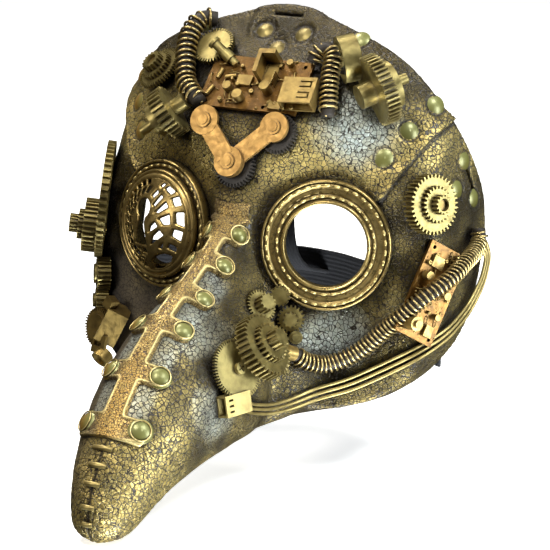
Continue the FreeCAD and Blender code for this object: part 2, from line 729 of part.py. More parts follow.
def springs():
    """Each coil spring, as the tube that its turns fill."""
    for label, points, across in (("forehead_spring_right", BROW_COIL, "brow_coil"),
                                  ("forehead_spring_left", SIDE_COIL, "side_coil"),
                                  ("cheek_spring", CHEEK_COIL, "cheek_coil")):
        node(tube(label + "_tube", points, size(across) / 2), label)


def bored(name, place, outer, inner, high):
    """A plain ring."""
    return turned(name, [(inner / 2, 0), (outer / 2, 0), (outer / 2, high), (inner / 2, high)], place)


def loose_gear(label, post_label, place, stages):
    """A gear free to turn on a post that is fixed in the shell below it.

    The last stage has a wider bore, in which the post's head sits below the rim."""
    stem, air = size("post") / 2, size("air")
    well = 2 * (stem + 1.0 + air / 2)
    bores = [size("post") + 2 * size("running_fit")] * (len(stages) - 1) + [well]
    node(gear(label + "_body", place, stages, bores), label)
    seat = sum(stage[2] for stage in stages[:-1]) + air
    profile = [(0, -6.0), (stem + 1.7, -6.0), (stem + 1.7, -air), (stem, -air), (stem, seat),
               (stem + 1.0, seat), (stem + 1.0, seat + 1.2), (0, seat + 1.2)]
    node(turned(post_label + "_turn", profile, place), post_label)


def shaft_set(label, centre, axis, stages):
    """A wheel on a shaft lying along the skin, each stage (start along the axis, thickness, diameter, teeth)."""
    pieces = [gear(f"{label}_stage{k}", axes_at(centre + axis * start, axis), [(teeth, across, thick)])
              for k, (start, thick, across, teeth) in enumerate(stages)]
    return fused(label + "_fused", pieces)


STACK_AT, STACK_AXIS, STACK_FOOT = Vector(33.0, -46.9, -35.2), Vector(0.84, 0.0, 0.54), (0.0, -5.0)


def shaft_gears():
    """Toothed wheels on short shafts, cut to the skin that they lie on."""
    inside = solid("skin_core", skin_core())
    right_axis = Vector(0.76, 0.254, 0.60).normalize()
    right = shaft_set("shaft_right", Vector(-35.5, -1.5, 51.0), right_axis,
                      [(-3.2, 6.4, 23.5, 28), (-7.4, 4.4, 15.0, 0), (-15.0, 8.0, 4.4, 0), (3.0, 6.5, 7.6, 0)])
    node(cut("shaft_right_cut", right, [inside]), "shaft_gear_right")
    left_axis = Vector(0.62, 0.72, 0.30).normalize()
    left = shaft_set("shaft_left", Vector(57.0, 17.6, 66.6), left_axis,
                     [(-3.0, 6.0, 31.0, 42), (-9.5, 7.0, 10.6, 0), (2.5, 4.6, 21.0, 0), (7.0, 6.5, 4.6, 0)])
    node(cut("shaft_left_cut", left, [inside]), "shaft_gear_left")
    drum_axis = Vector(0.76, 0.62, 0.19).normalize()
    drum = bored("drum", axes_at(Vector(40.8, 21.6, 78.0) - drum_axis * 4, drum_axis), 20.5, 17.5, 8.0)
    node(cut("drum_cut", drum, [inside]), "smooth_drum")
    stack = axes_at(STACK_AT, STACK_AXIS)
    tower = [gear("stack", stack, [(36, 28.4, 6.0), (24, 17.4, 2.9), (12, 9.0, 5.0)]),
             cylinder("stack_foot", moved(stack, *STACK_FOOT, -12), "2.4", "12.5")]
    node(cut("stack_cut", fused("stack_fused", tower), [inside, spur_room("stack_relief")]), "cheek_stack_gear")


# ------------------------------------------------------------------ chain and stepped gear
PINS = [Vector(-16.3, -0.8, 49.0), Vector(-1.4, -6.7, 33.3), Vector(16.9, -0.6, 49.4)]
CHAIN_AXIS = Vector(0.0, -0.93, 0.37)


def link(name, start, end, level):
    """One plate of a chain: two round ends and a narrow waist."""
    rise = CHAIN_AXIS * level
    run = end - start
    ends = [cylinder(f"{name}_end{k}", axes_at(p + rise, CHAIN_AXIS, run), "Spec.link_end",
                     "Spec.link_wall")
            for k, p in enumerate((start, end))]
    waist = axes_at((start + end) * 0.5 + rise, CHAIN_AXIS, run)
    ends.append(box(name + "_waist", waist, str(round(run.Length - 5, 2)), "Spec.link_waist * 2",
                    "Spec.link_wall"))
    return fused(name, ends)


def chain():
    """Two links of a roller chain on three pins, over two dark gears."""
    wall = size("link_wall")
    node(link("right_plate", PINS[0], PINS[1], wall + 0.4), "chain_link_right")
    node(link("left_plate", PINS[1], PINS[2], 0.2), "chain_link_left")
    pins = []
    for k, (pin, top) in enumerate(zip(PINS, (2 * wall + 0.4, 2 * wall + 0.4, wall + 0.2))):
        place = axes_at(pin, CHAIN_AXIS)
        pins.append(cylinder(f"pin_shank{k}", moved(place, z=-5), "Spec.pin_shank / 2",
                             str(round(top + 5, 2))))
        pins.append(cylinder(f"pin_head{k}", moved(place, z=top), "Spec.pin_head / 2", "0.9"))
        pins.append(cylinder(f"pin_boss{k}", moved(place, z=top), "Spec.pin_head / 2 - 1.1", "1.3"))
    node(fused("chain_pin_set", pins), "chain_pins")
    low = gear("low_chain_gear", axes_at(PINS[1] - CHAIN_AXIS * 2.6 + Vector(1.2, 0, -1.0), CHAIN_AXIS),
               [(36, 19.0, 2.4)])
    high = gear("high_chain_gear", axes_at(PINS[2] - CHAIN_AXIS * 2.6 + Vector(0.8, 0, -2.4), CHAIN_AXIS),
                [(34, 17.6, 2.4)])
    node(group("chain_gear_set", [low, high]), "chain_gears")


def stepped_gear():
    axis = Vector(-0.38, -0.60, 0.70)
    loose_gear("stepped_gear_right", "stepped_gear_post", axes_at(Vector(-53.2, 22.6, 64.4), axis),
               [(44, 22.0, 2.0), (26, 15.4, 2.4), (16, 10.0, 3.2)])


# ------------------------------------------------------------------ temples
SIDE_AXIS = Vector(-0.875, -0.465, 0.13).normalize()
WHEEL_AT = Vector(-80.6, 18.6, 2.5)


def temple_wheel():
    """The openwork toothed wheel on the right temple, with its stepped gear and two small gears."""
    body = DOC.addObject("PartDesign::Body", "wheel")
    sketch = plane_sketch(body, "wheel_outline", "XY_Plane")
    polygon(sketch, tooth_ring(54, 25.6, 27.0))
    for k in range(6):
        sketch.addGeometry(wedge(math.radians(60 * k + 8), math.radians(60 * k + 52), 9.5, 21.5))
    pad = body.newObject("PartDesign::Pad", "wheel_pad")
    pad.Profile = sketch
    pad.Length = 3.6
    body.Tip = pad
    wheel = axes_at(WHEEL_AT, SIDE_AXIS)
    body.Placement = moved(wheel, z=-1.2)
    inside = solid("temple_core", skin_core())
    node(cut("wheel_cut", body, [inside]), "temple_wheel_right")
    loose_gear("temple_gear_right", "temple_post_right", moved(wheel, x=-13.0, z=3.0),
               [(32, 24.8, 6.1), (22, 14.0, 2.6), (16, 8.7, 4.0)])
    small_axis = Vector(-0.80, -0.59, 0.05)
    upper = gear("upper_small", axes_at(Vector(-74.6, 10.4, -30.0), small_axis),
                 [(22, 15.4, 6.0), (0, 9.0, 1.2)], [3.0, 3.0])
    lower = gear("lower_small", axes_at(Vector(-74.6, 8.2, -42.0), small_axis),
                 [(16, 11.2, 5.6), (0, 6.4, 1.2)], [2.4, 2.4])
    node(cut("small_gear_cut", fused("small_gear_set", [upper, lower]), [inside]),
         "temple_small_gears_right")


def wedge(start, end, inner, outer):
    """The outline of an opening between two spokes."""
    corners = [(outer * math.cos(a), outer * math.sin(a)) for a in (start, (2 * start + end) / 3,
                                                                     (start + 2 * end) / 3, end)]
    corners += [(inner * math.cos(a), inner * math.sin(a)) for a in (end - 0.12, start + 0.12)]
    return [Part.LineSegment(Vector(*p, 0), Vector(*q, 0)) for p,
            q in zip(corners, corners[1:] + corners[:1])]


def temple_gear_left():
    loose_gear("temple_gear_left", "temple_post_left", axes_at(Vector(79.6, 18.8, 18.6), Vector(0.90,
                                                                                                -0.40, 0.17)),
               [(38, 26.0, 5.6), (24, 16.0, 2.5), (14, 8.5, 3.6)])


def cheek_bracket():
    """On the right cheek: a ridged block, a toothed disc beside it, a slotted plate, a lug and an open tube."""
    inside = solid("bracket_core", skin_core())
    skin_way, long_way = Vector(-0.33, -0.92, 0.20), Vector(0.53, 0.30, 0.72)
    block = axes_at(Vector(-66.6, -0.6, -50.0), skin_way, long_way)
    ridge = block.multiply(Placement(Vector(), Rotation(X, 45)))
    pieces = [box("ridged_block", moved(ridge, z=-5.0), "17", "10", "10"),
              gear("bracket_disc", axes_at(Vector(-73.4, 1.0, -53.0), skin_way),
                   [(40, 18.0, 3.2), (0, 12.0, 0.9)]),
              box("bracket_lug", moved(block, 9.5, 3.0, 2.0), "5", "5", "4.5")]
    plate = box("slot_plate", moved(block, -10.0, -2.0, 3.4, 25), "9", "9", "1.4")
    slot = box("plate_slot", moved(block, -10.5, -1.5, 2.0, 25), "2.0", "5.0", "6")
    pieces.append(cut("slotted_plate", plate, [slot]))
    pieces.append(bored("bracket_barrel", axes_at(Vector(-68.5, -4.0, -63.0), Vector(-0.25, -0.80,
                                                                                     -0.50)), 8.4, 5.8, 5.0))
    node(cut("bracket_cut", fused("bracket_set", pieces), [inside]), "cheek_bracket_right")


# ------------------------------------------------------------------ cheek board and cheek gears
def side_board_frame():
    long_way = (Vector(0.507, 0.862, 0) * -0.52 + Vector(-0.087, 0.05, 0.995) * -0.86).normalize()
    return axes_at(Vector(82.9, 16.4, -19.8), Vector(0.86, -0.49, 0.10), long_way)


def side_board():
    base = side_board_frame()
    plate = box("side_plate", base, "Spec.side_board_long", "Spec.side_board_wide", "Spec.board_wall")
    holes = [cylinder(f"side_hole{k}", moved(base, x, y, -1), "0.9", "4") for k, (x, y) in
             enumerate([(-18.5, 8), (18.5, 8), (-18.5, -8)])]
    node(cut("side_cut", plate, holes), "side_circuit_board")
    top = moved(base, z=size("board_wall"))
    pieces = [cylinder("can_body", moved(top, 15.5, -5.5), "3.1", "6.5"),
              cylinder("can_cap", moved(top, 15.5, -5.5, 6.5), "1.6", "1.4")]
    for k, (x, y, radius, high) in enumerate([(-6.0, -7.0, 1.9, 4.0), (-1.5, 5.5, 1.7, 4.2),
                                              (8.5, 6.0, 1.4, 3.0)]):
        pieces.append(cylinder(f"side_capacitor{k}", moved(top, x, y), str(radius), str(high)))
    for k, (x, y, length, width) in enumerate([(4.5, -4.5, 7, 5), (-13.0, -4.0, 5, 6), (15.5, 5.0, 5, 4)]):
        pieces.append(box(f"side_chip{k}", moved(top, x, y), str(length), str(width), "1.8"))
    for k in range(5):
        pieces.append(cylinder(f"side_pin{k}", moved(top, -18.5 + 1.9 * k, 2.5), "0.4", "4.5"))
    node(group("side_component_set", pieces), "side_board_components")


SPUR_AT, SPUR_AXIS = Vector(29.3, -59.2, -40.9), Vector(0.90, -0.25, 0.36)


def spur_room(name):
    """The space that the spur gear turns in, kept clear of its neighbours."""
    return cylinder(name, moved(axes_at(SPUR_AT, SPUR_AXIS), z=-0.6), "13.6", "2.8")


def spur_gear():
    """The flat fine-toothed gear beside the beak, free to turn under the head of its screw."""
    place = axes_at(SPUR_AT, SPUR_AXIS)
    node(gear("spur", place, [(60, 25.8, 1.6)], [size("post") + 2 * size("running_fit")]),
         "cheek_spur_gear")
    stem, air = size("post") / 2, size("air")
    profile = [(0, -6.5), (stem + 1.2, -6.5), (stem + 1.2, -air), (stem, -air), (stem, 1.6 + air),
               (stem + 1.1, 1.6 + air), (stem + 1.1, 3.9), (0, 3.9)]
    screw = turned("screw_turn", profile, place)
    cross = [box(f"screw_cross{k}", moved(place, z=3.3, turn=90 * k + 20), "3.2", "0.7", "2") for k in (0,
                                                                                                        1)]
    node(cut("screw_cut", screw, cross), "spur_screw")


def cheek_gears():
    """The small gears round the end of the pipe."""
    small = []
    for k, (spot, axis, stages) in enumerate([
            (Vector(20.6, -23.5, -24.5), Vector(0.80, -0.30, 0.52), [(28, 14.4, 3.0), (12, 8.0, 5.0)]),
            (Vector(24.4, -9.8, -22.0), Vector(0.30, -0.95, 0.10), [(14, 8.9, 3.5)]),
            (Vector(30.2, -11.0, -31.4), Vector(0.40, -0.90, 0.15), [(20, 12.0, 2.6), (10, 7.0, 3.0)]),
            (Vector(33.0, -12.6, -38.8), Vector(0.55, -0.80, 0.20), [(0, 5.8, 3.0), (0, 3.4, 1.2)])]):
        small.append(gear(f"small_gear{k}", axes_at(spot, axis), stages))
    node(group("small_cheek_set", small), "small_cheek_gears")
    pipe = tube("pipe", [(34.5, -31.2, -32.3), (32.6, -26.4, -41.0), (35.9, -19.2, -44.1)], 3.2)
    node(pipe, "cheek_pipe")


def cheek_connector():
    """A flat connector with its mouth to the front and four slots."""
    base = axes_at(Vector(29.2, -64.4, -54.4), Vector(0.93, -0.30, 0.20), Vector(0.30, 0.94, 0))
    case = box("connector_case", base, "14", "9", "6")
    mouth = box("connector_mouth", moved(base, -3, 0, 0.9), "14", "7.4", "4.2")
    slots = [box(f"connector_slot{k}", moved(base, -4.0, y, 4), "2.4", "0.9", "4") for k,
             y in enumerate((-2.4, 0, 2.4))]
    node(cut("connector_cut", case, [mouth, spur_room("connector_relief")] + slots), "cheek_connector")


WIRE_ROUTE = [(31.0, -58.5, -55.5), (31.6, -50.5, -60.4), (33.4, -35.5, -65.0), (37.2, -21.2, -65.6),
              (43.4, -10.8, -63.2),
              (54.4, -4.0, -60.0), (68.0, 2.4, -52.8), (81.2, 10.0, -45.2), (88.2, 25.6, -39.8),
              (90.6, 42.8, -32.0),
              (91.8, 53.8, -22.0), (92.8, 56.5, -11.6), (92.0, 53.0, -4.6), (89.0, 49.4, -1.6)]


def cheek_wires():
    """Three wires side by side, from the connector round the cheek and up behind the side board."""
    route = [Vector(*p) for p in WIRE_ROUTE]
    for label, lane in (("upper", 1.0), ("middle", 0.0), ("lower", -1.0)):
        points = []
        for k, spot in enumerate(route):
            along = route[min(k + 1, len(route) - 1)] - route[max(k - 1, 0)]
            out = outward(*SKIN.parameter(spot))
            spread = 1.75 + 0.8 * math.sin(math.pi * k / (len(route) - 1))
            points.append(spot + out.cross(along).normalize() * (lane * -spread))
        node(tube(f"{label}_wire", points, size("wire") / 2), f"cheek_wire_{label}")


# ------------------------------------------------------------------ elastics
def strip(name, points, wall, width, role):
    """A strap of even wall that follows a smooth curve through the points, padded to its width."""
    path = []
    ends = [points[0]] + points + [points[-1]]
    for i in range(len(points) - 1):
        path += [curve_point(*ends[i:i + 4], t / 6) for t in range(6)]
    path.append(points[-1])
    left, right = [], []
    for k, (a, b) in enumerate(path):
        before, after = path[max(k - 1, 0)], path[min(k + 1, len(path) - 1)]
        dx, dy = after[0] - before[0], after[1] - before[1]
        scale = wall / 2 / math.hypot(dx, dy)
        left.append((a - dy * scale, b + dx * scale))
        right.append((a + dy * scale, b - dx * scale))
    body = DOC.addObject("PartDesign::Body", name)
    sketch = plane_sketch(body, name + "_outline", role)
    polygon(sketch, left + right[::-1])
    pad = body.newObject("PartDesign::Pad", name + "_pad")
    pad.Profile = sketch
    pad.Midplane = True
    bind(pad, Length=width)
    body.Tip = pad
    length = sum(math.dist(p, q) for p, q in zip(path, path[1:]))
    print(f"{name}: {length:.1f} mm long")
    return body


def elastics():
    wall = size("elastic_wall")
    half = [(18.0, 59.0), (34.0, 52.5), (52.0, 45.5), (70.0, 39.0), (81.0, 33.0)]
    path = [(-x, y) for x, y in half[::-1]] + [(0.0, 61.5)] + half
    band = strip("band_elastic", path, wall, "Spec.elastic_width", "XY_Plane")
    band.Placement = Placement(Vector(0, 0, -39), Rotation())
    node(band, "elastic_band")
    path = [(42.0, 85.0), (32.0, 66.0), (25.6, 40.0), (24.4, 8.0), (27.0, -10.0), (38.0, -22.0),
            (59.6, -30.0)]
    strap = strip("top_elastic", path, wall, "Spec.top_elastic", "YZ_Plane")
    node(strap, "top_strap")


# ------------------------------------------------------------------ build, check, write
for make in (mask_shell, bridge_strap, bridge_rivets, tip_stitches, eye_rings, filigree_dome, flat_rivets,
             circuit_board, board_components, sockets, forehead_bits, springs, shaft_gears, chain, stepped_gear,
             temple_wheel, temple_gear_left, cheek_bracket, side_board, spur_gear, cheek_gears, cheek_connector,
             cheek_wires, elastics):
    make()
DOC.recompute()

for item in DOC.Objects:
    if any(word in item.State for word in ("Invalid", "Error")):
        raise ValueError(f"{item.Label} did not recompute: {item.State}")
for item in NODES:
    if item.Shape.isNull() or not item.Shape.isValid() or not item.Shape.Solids:
        raise ValueError(f"{item.Label} is not a sound solid")
os.makedirs("parts", exist_ok=True)
for item in NODES:
    item.Shape.exportStep(f"parts/{item.Label}.step")
    print(f"{item.Label}: {item.Shape.Volume / 1000:.2f} cm3, {len(item.Shape.Solids)} solid(s)")
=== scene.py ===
import math
import random

import bmesh
import bpy
import numpy as np
from mathutils import Matrix, Vector, noise
from mathutils.bvhtree import BVHTree


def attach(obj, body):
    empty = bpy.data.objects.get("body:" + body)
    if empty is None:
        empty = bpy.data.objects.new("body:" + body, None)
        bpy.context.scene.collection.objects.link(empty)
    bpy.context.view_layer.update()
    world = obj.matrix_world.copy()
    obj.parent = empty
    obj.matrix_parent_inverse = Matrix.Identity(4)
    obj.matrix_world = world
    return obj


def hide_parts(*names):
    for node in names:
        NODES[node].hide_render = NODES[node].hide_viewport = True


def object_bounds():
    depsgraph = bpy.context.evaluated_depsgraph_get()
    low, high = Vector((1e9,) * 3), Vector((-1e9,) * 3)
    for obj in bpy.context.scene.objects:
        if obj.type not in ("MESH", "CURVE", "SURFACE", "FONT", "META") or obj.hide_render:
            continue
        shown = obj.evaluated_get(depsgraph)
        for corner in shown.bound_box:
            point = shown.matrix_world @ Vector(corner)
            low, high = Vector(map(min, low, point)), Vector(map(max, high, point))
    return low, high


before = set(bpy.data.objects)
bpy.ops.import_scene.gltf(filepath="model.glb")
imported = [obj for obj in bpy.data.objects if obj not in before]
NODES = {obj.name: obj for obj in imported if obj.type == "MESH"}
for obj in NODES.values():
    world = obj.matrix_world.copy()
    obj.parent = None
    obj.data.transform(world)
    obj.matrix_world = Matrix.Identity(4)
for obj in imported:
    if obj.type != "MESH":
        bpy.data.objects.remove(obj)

CAD_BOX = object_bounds()
MM = 0.001
random.seed(7)
# noise_vector starts from the clock unless it is seeded
noise.seed_set(7)


# ------------------------------------------------------------------ camera, light, floor
FORWARD = Vector((-0.4524, 0.8508, -0.2672)).normalized()
RIGHT = Vector((0.8829, 0.4695, 0.0)).normalized()
UP = RIGHT.cross(FORWARD).normalized()
DISTANCE = 1.10
FOCUS = 2517.0 / 550
AIM = -0.01321 * RIGHT + 0.01619 * UP


def camera():
    """The view from the mask's front left, slightly above."""
    data = bpy.data.cameras.new("camera")
    data.sensor_width = 36.0
    data.lens = 36.0 * FOCUS
    data.clip_start = 0.05
    data.clip_end = 20.0
    eye = bpy.data.objects.new("camera", data)
    turn = Matrix((RIGHT, UP, -FORWARD)).transposed().to_4x4()
    place = -DISTANCE * (FORWARD + AIM)
    eye.matrix_world = Matrix.Translation(place) @ turn
    bpy.context.scene.collection.objects.link(eye)
    bpy.context.scene.camera = eye


def lamp(name, place, size, power, colour):
    """A soft box that looks at the mask."""
    data = bpy.data.lights.new(name, "AREA")
    data.shape = "RECTANGLE"
    data.size, data.size_y = size
    data.energy = power
    data.color = colour
    light = bpy.data.objects.new(name, data)
    light.location = place
    way = (Vector((0, -0.03, 0)) - Vector(place)).normalized()
    light.rotation_euler = way.to_track_quat("-Z", "Y").to_euler()
    bpy.context.scene.collection.objects.link(light)


def studio():
    """White surroundings for the camera, a graded grey room for the reflections, six soft boxes,
    and a bright floor that throws no light on the mask."""
    world = bpy.data.worlds.new("studio")
    world.use_nodes = True
    tree = world.node_tree
    back = tree.nodes["Background"]
    coords = tree.nodes.new("ShaderNodeTexCoord")
    split = tree.nodes.new("ShaderNodeSeparateXYZ")
    tree.links.new(coords.outputs["Generated"], split.inputs[0])
    ramp = tree.nodes.new("ShaderNodeMapRange")
    for key, number in (("From Min", -0.3), ("From Max", 0.9), ("To Min", 0.05), ("To Max", 0.25)):
        ramp.inputs[key].default_value = number
    tree.links.new(split.outputs["Z"], ramp.inputs["Value"])
    tree.links.new(ramp.outputs["Result"], back.inputs["Strength"])
    white = tree.nodes.new("ShaderNodeBackground")
    white.inputs["Strength"].default_value = 1.0
    path = tree.nodes.new("ShaderNodeLightPath")
    both = tree.nodes.new("ShaderNodeMixShader")
    tree.links.new(path.outputs["Is Camera Ray"], both.inputs[0])
    tree.links.new(back.outputs[0], both.inputs[1])
    tree.links.new(white.outputs[0], both.inputs[2])
    tree.links.new(both.outputs[0], tree.nodes["World Output"].inputs["Surface"])
    bpy.context.scene.world = world
    lamp("key", (-0.05, -0.55, 0.95), (0.35, 0.3), 9.5, (1.0, 0.97, 0.92))
    lamp("front", (-0.55, -1.0, 0.45), (0.3, 0.5), 5.0, (1.0, 0.95, 0.88))
    lamp("side", (1.0, 0.05, 0.0), (0.3, 0.6), 16.0, (0.86, 0.94, 1.0))
    lamp("top", (0.7, -0.05, 0.9), (0.35, 0.35), 12.0, (0.92, 0.97, 1.0))
    lamp("back", (-0.5, 0.25, 0.95), (0.4, 0.3), 11.0, (1.0, 0.96, 0.88))
    lamp("under", (0.32, -0.28, -0.55), (0.35, 0.35), 15.0, (0.92, 0.97, 1.0))
    data = bpy.data.meshes.new("floor")
    half, low = 4.0, CAD_BOX[0][2] - 0.0004
    data.from_pydata([(-half, -half, low), (half, -half, low), (half, half, low), (-half, half, low)],
                     [], [(0, 1, 2, 3)])
    floor = bpy.data.objects.new("floor", data)
    bpy.context.scene.collection.objects.link(floor)
    paint = bpy.data.materials.new("floor_paint")
    paint.use_nodes = True
    shader = paint.node_tree.nodes["Principled BSDF"]
    shader.inputs["Base Color"].default_value = (0.9, 0.9, 0.9, 1)
    shader.inputs["Roughness"].default_value = 0.7
    shader.inputs["Emission Color"].default_value = (1, 1, 1, 1)
    shader.inputs["Emission Strength"].default_value = 0.62
    data.materials.append(paint)
    floor.visible_glossy = False
    floor.visible_diffuse = False
    floor.visible_shadow = False


# ------------------------------------------------------------------ materials
class Paint:
    """A material under construction. Lengths in its patterns are in millimetres."""

    def __init__(self, name):
        self.material = bpy.data.materials.new(name)
        self.material.use_nodes = True
        self.tree = self.material.node_tree
        self.shader = self.tree.nodes["Principled BSDF"]
        scale = self.add("ShaderNodeVectorMath", operation="SCALE")
        self.tree.links.new(self.add("ShaderNodeTexCoord").outputs["Object"], scale.inputs[0])
        scale.inputs["Scale"].default_value = 1000.0
        self.place = scale.outputs[0]

    def add(self, kind, **settings):
        """A new shader node."""
        made = self.tree.nodes.new(kind)
        for key, value in settings.items():
            setattr(made, key, value)
        return made

    def feed(self, socket, value):
        """Link a socket to another one, or set it to a number or a colour."""
        if isinstance(value, bpy.types.NodeSocket):
            self.tree.links.new(value, socket)
        elif isinstance(value, (tuple, list)) and len(value) == 3 and socket.type == "RGBA":
            socket.default_value = (*value, 1.0)
        else:
            socket.default_value = value

    def noise(self, length, detail=3.0):
        made = self.add("ShaderNodeTexNoise")
        self.feed(made.inputs["Vector"], self.place)
        made.inputs["Scale"].default_value = 1.0 / length
        made.inputs["Detail"].default_value = detail
        made.inputs["Roughness"].default_value = 0.55
        return made.outputs["Fac"]

    def warped(self, length, amount):
        """The place, moved about by noise."""
        made = self.add("ShaderNodeTexNoise")
        self.feed(made.inputs["Vector"], self.place)
        made.inputs["Scale"].default_value = 1.0 / length
        shift = self.add("ShaderNodeVectorMath", operation="MULTIPLY_ADD")
        self.feed(shift.inputs[0], made.outputs["Color"])
        shift.inputs[1].default_value = (amount, amount, amount)
        self.feed(shift.inputs[2], self.place)
        return shift.outputs[0]

    def cells(self, size, vector=None, feature="DISTANCE_TO_EDGE", rand=1.0, output="Distance"):
        made = self.add("ShaderNodeTexVoronoi", feature=feature)
        self.feed(made.inputs["Vector"], vector or self.place)
        made.inputs["Scale"].default_value = 1.0 / size
        made.inputs["Randomness"].default_value = rand
        return made.outputs[output]

    def span(self, value, low, high, out_low=0.0, out_high=1.0, smooth=False):
        """Map low..high to out_low..out_high, clamped."""
        made = self.add("ShaderNodeMapRange")
        if smooth:
            made.interpolation_type = "SMOOTHSTEP"
        self.feed(made.inputs["Value"], value)
        for key, number in (("From Min", low), ("From Max", high), ("To Min", out_low), ("To Max", out_high)):
            made.inputs[key].default_value = number
        return made.outputs["Result"]

    def math(self, operation, a, b, clamp=False):
        made = self.add("ShaderNodeMath", operation=operation, use_clamp=clamp)
        self.feed(made.inputs[0], a)
        self.feed(made.inputs[1], b)
        return made.outputs[0]

    def mix(self, share, a, b):
        made = self.add("ShaderNodeMix", data_type="RGBA")
        self.feed(made.inputs["Factor"], share)
        self.feed(made.inputs["A"], a)
        self.feed(made.inputs["B"], b)
        return made.outputs["Result"]

    def corners(self, distance):
        """1 in the open, towards 0 in corners and grooves."""
        made = self.add("ShaderNodeAmbientOcclusion", samples=6)
        made.inputs["Distance"].default_value = distance * MM
        return made.outputs["AO"]

    def mark(self, name, channel=None):
        """A value worked out on the mesh, or one channel of a colour."""
        made = self.add("ShaderNodeAttribute", attribute_name=name)
        if channel is None:
            return made.outputs["Fac"]
        split = self.add("ShaderNodeSeparateColor")
        self.feed(split.inputs[0], made.outputs["Color"])
        return split.outputs[channel]

    def bumps(self, layers):
        """(height, depth in millimetres) layers, one over the other."""
        last = None
        for height, depth in layers:
            made = self.add("ShaderNodeBump")
            made.inputs["Distance"].default_value = depth * MM
            made.inputs["Strength"].default_value = 1.0
            self.feed(made.inputs["Height"], height)
            if last:
                self.feed(made.inputs["Normal"], last)
            last = made.outputs["Normal"]
        self.feed(self.shader.inputs["Normal"], last)

    def finish(self, colour, rough, metal, specular=0.5):
        """Wire up the shader and hand over the material."""
        self.feed(self.shader.inputs["Base Color"], colour)
        self.feed(self.shader.inputs["Roughness"], rough)
        self.feed(self.shader.inputs["Metallic"], metal)
        self.shader.inputs["Specular IOR Level"].default_value = specular
        return self.material


def gilt(name, bright, dull, dirt_and_shade=(0.035, 0.02, 0.008), rough=0.38, metal=0.75, reach=1.6, grain=0.03,
         deep=0.55):
    """Gold or brass paint, mottled and flecked with grime, with painted shade darkening its corners."""
    p = Paint(name)
    blotch = p.span(p.noise(5.0, 4), 0.35, 0.7)
    colour = p.mix(blotch, bright, dull)
    specks = p.span(p.noise(0.5, 2), 0.62, 0.8)
    colour = p.mix(p.math("MULTIPLY", specks, 0.35), colour, dirt_and_shade)
    # painted shade: ambient occlusion darkens the colour in corners and grooves, and dulls the metal there
    unshaded = p.span(p.corners(reach), deep - 0.4, deep + 0.35, smooth=True)
    colour = p.mix(unshaded, dirt_and_shade, colour)
    p.bumps([(p.noise(0.7, 3), grain)])
    shine = p.span(p.noise(2.2, 3), 0.3, 0.7, rough - 0.08, rough + 0.14)
    return p.finish(colour, shine, p.span(unshaded, 0.0, 1.0, 0.2, metal))


def crackle(p, size, wide=0.12):
    """A crackle of two sizes: 1 on the flakes and 0 in the crack lines, then a random value for each flake.
    """
    wobble = p.warped(size * 1.05, size * 0.7)
    big = p.cells(size, wobble)
    small = p.cells(size * 0.46, p.warped(size * 0.6, size * 0.4))
    crack = p.math("MULTIPLY", p.span(big, 0.01, wide, smooth=True), p.span(small, 0.0, 0.1, 0.6, 1.0))
    pick = p.add("ShaderNodeSeparateColor")
    p.feed(pick.inputs[0], p.cells(size, wobble, "F1", output="Color"))
    return crack, pick.outputs["Red"]


def leather(name, size):
    """Crackled leather: olive gold, rubbed bright, pale silver or bare by the marks worked out on the mesh.
    The pale silver is partly a painted sheen, and painted shade darkens the hollows.
    """
    p = Paint(name)
    gold, pewter_and_sheen, bare = (p.mark("tone_marks", c) for c in ("Red", "Green", "Blue"))
    crack, flake = crackle(p, size)
    blotch = p.span(p.noise(9.0, 4), 0.35, 0.68)
    ground = p.mix(blotch, (0.036, 0.028, 0.012), (0.080, 0.061, 0.024))
    ground = p.mix(bare, ground, (0.055, 0.043, 0.028))
    gilding = p.mix(p.span(p.noise(6.0, 3), 0.35, 0.65), (0.50, 0.375, 0.12), (0.33, 0.26, 0.09))
    # pale silver, partly standing in as a painted sheen
    shining = p.mix(p.noise(3.0, 3), (0.60, 0.64, 0.60), (0.36, 0.43, 0.38))
    amount = p.math("MULTIPLY", gold, p.span(flake, 0.1, 0.9, 0.75, 1.15), True)
    colour = p.mix(amount, ground, gilding)
    silver = p.math("MULTIPLY", pewter_and_sheen, p.span(flake, 0.1, 0.9, 1.1, 0.8), True)
    colour = p.mix(silver, colour, shining)
    fissure = p.math("MULTIPLY", crack, p.mark("darken_marks"))
    colour = p.mix(p.span(fissure, 0.1, 0.9), (0.012, 0.008, 0.004), colour)
    # painted shade: ambient occlusion darkens the hollows to near black
    unshaded = p.span(p.corners(9.0), 0.35, 0.9, smooth=True)
    colour = p.mix(unshaded, (0.006, 0.004, 0.003), colour)
    p.bumps([(p.noise(0.45, 3), 0.05), (p.math("MULTIPLY", crack, p.span(bare, 0, 1, 1, 0.3)), 0.2)])
    shine = p.span(bare, 0.0, 1.0, 0.36, 0.55)
    metal = p.math("MULTIPLY", p.span(bare, 0.0, 1.0, 0.8, 0.15), p.span(fissure, 0.0, 0.6, 0.2, 1.0))
    return p.finish(colour, shine, metal, 0.5)


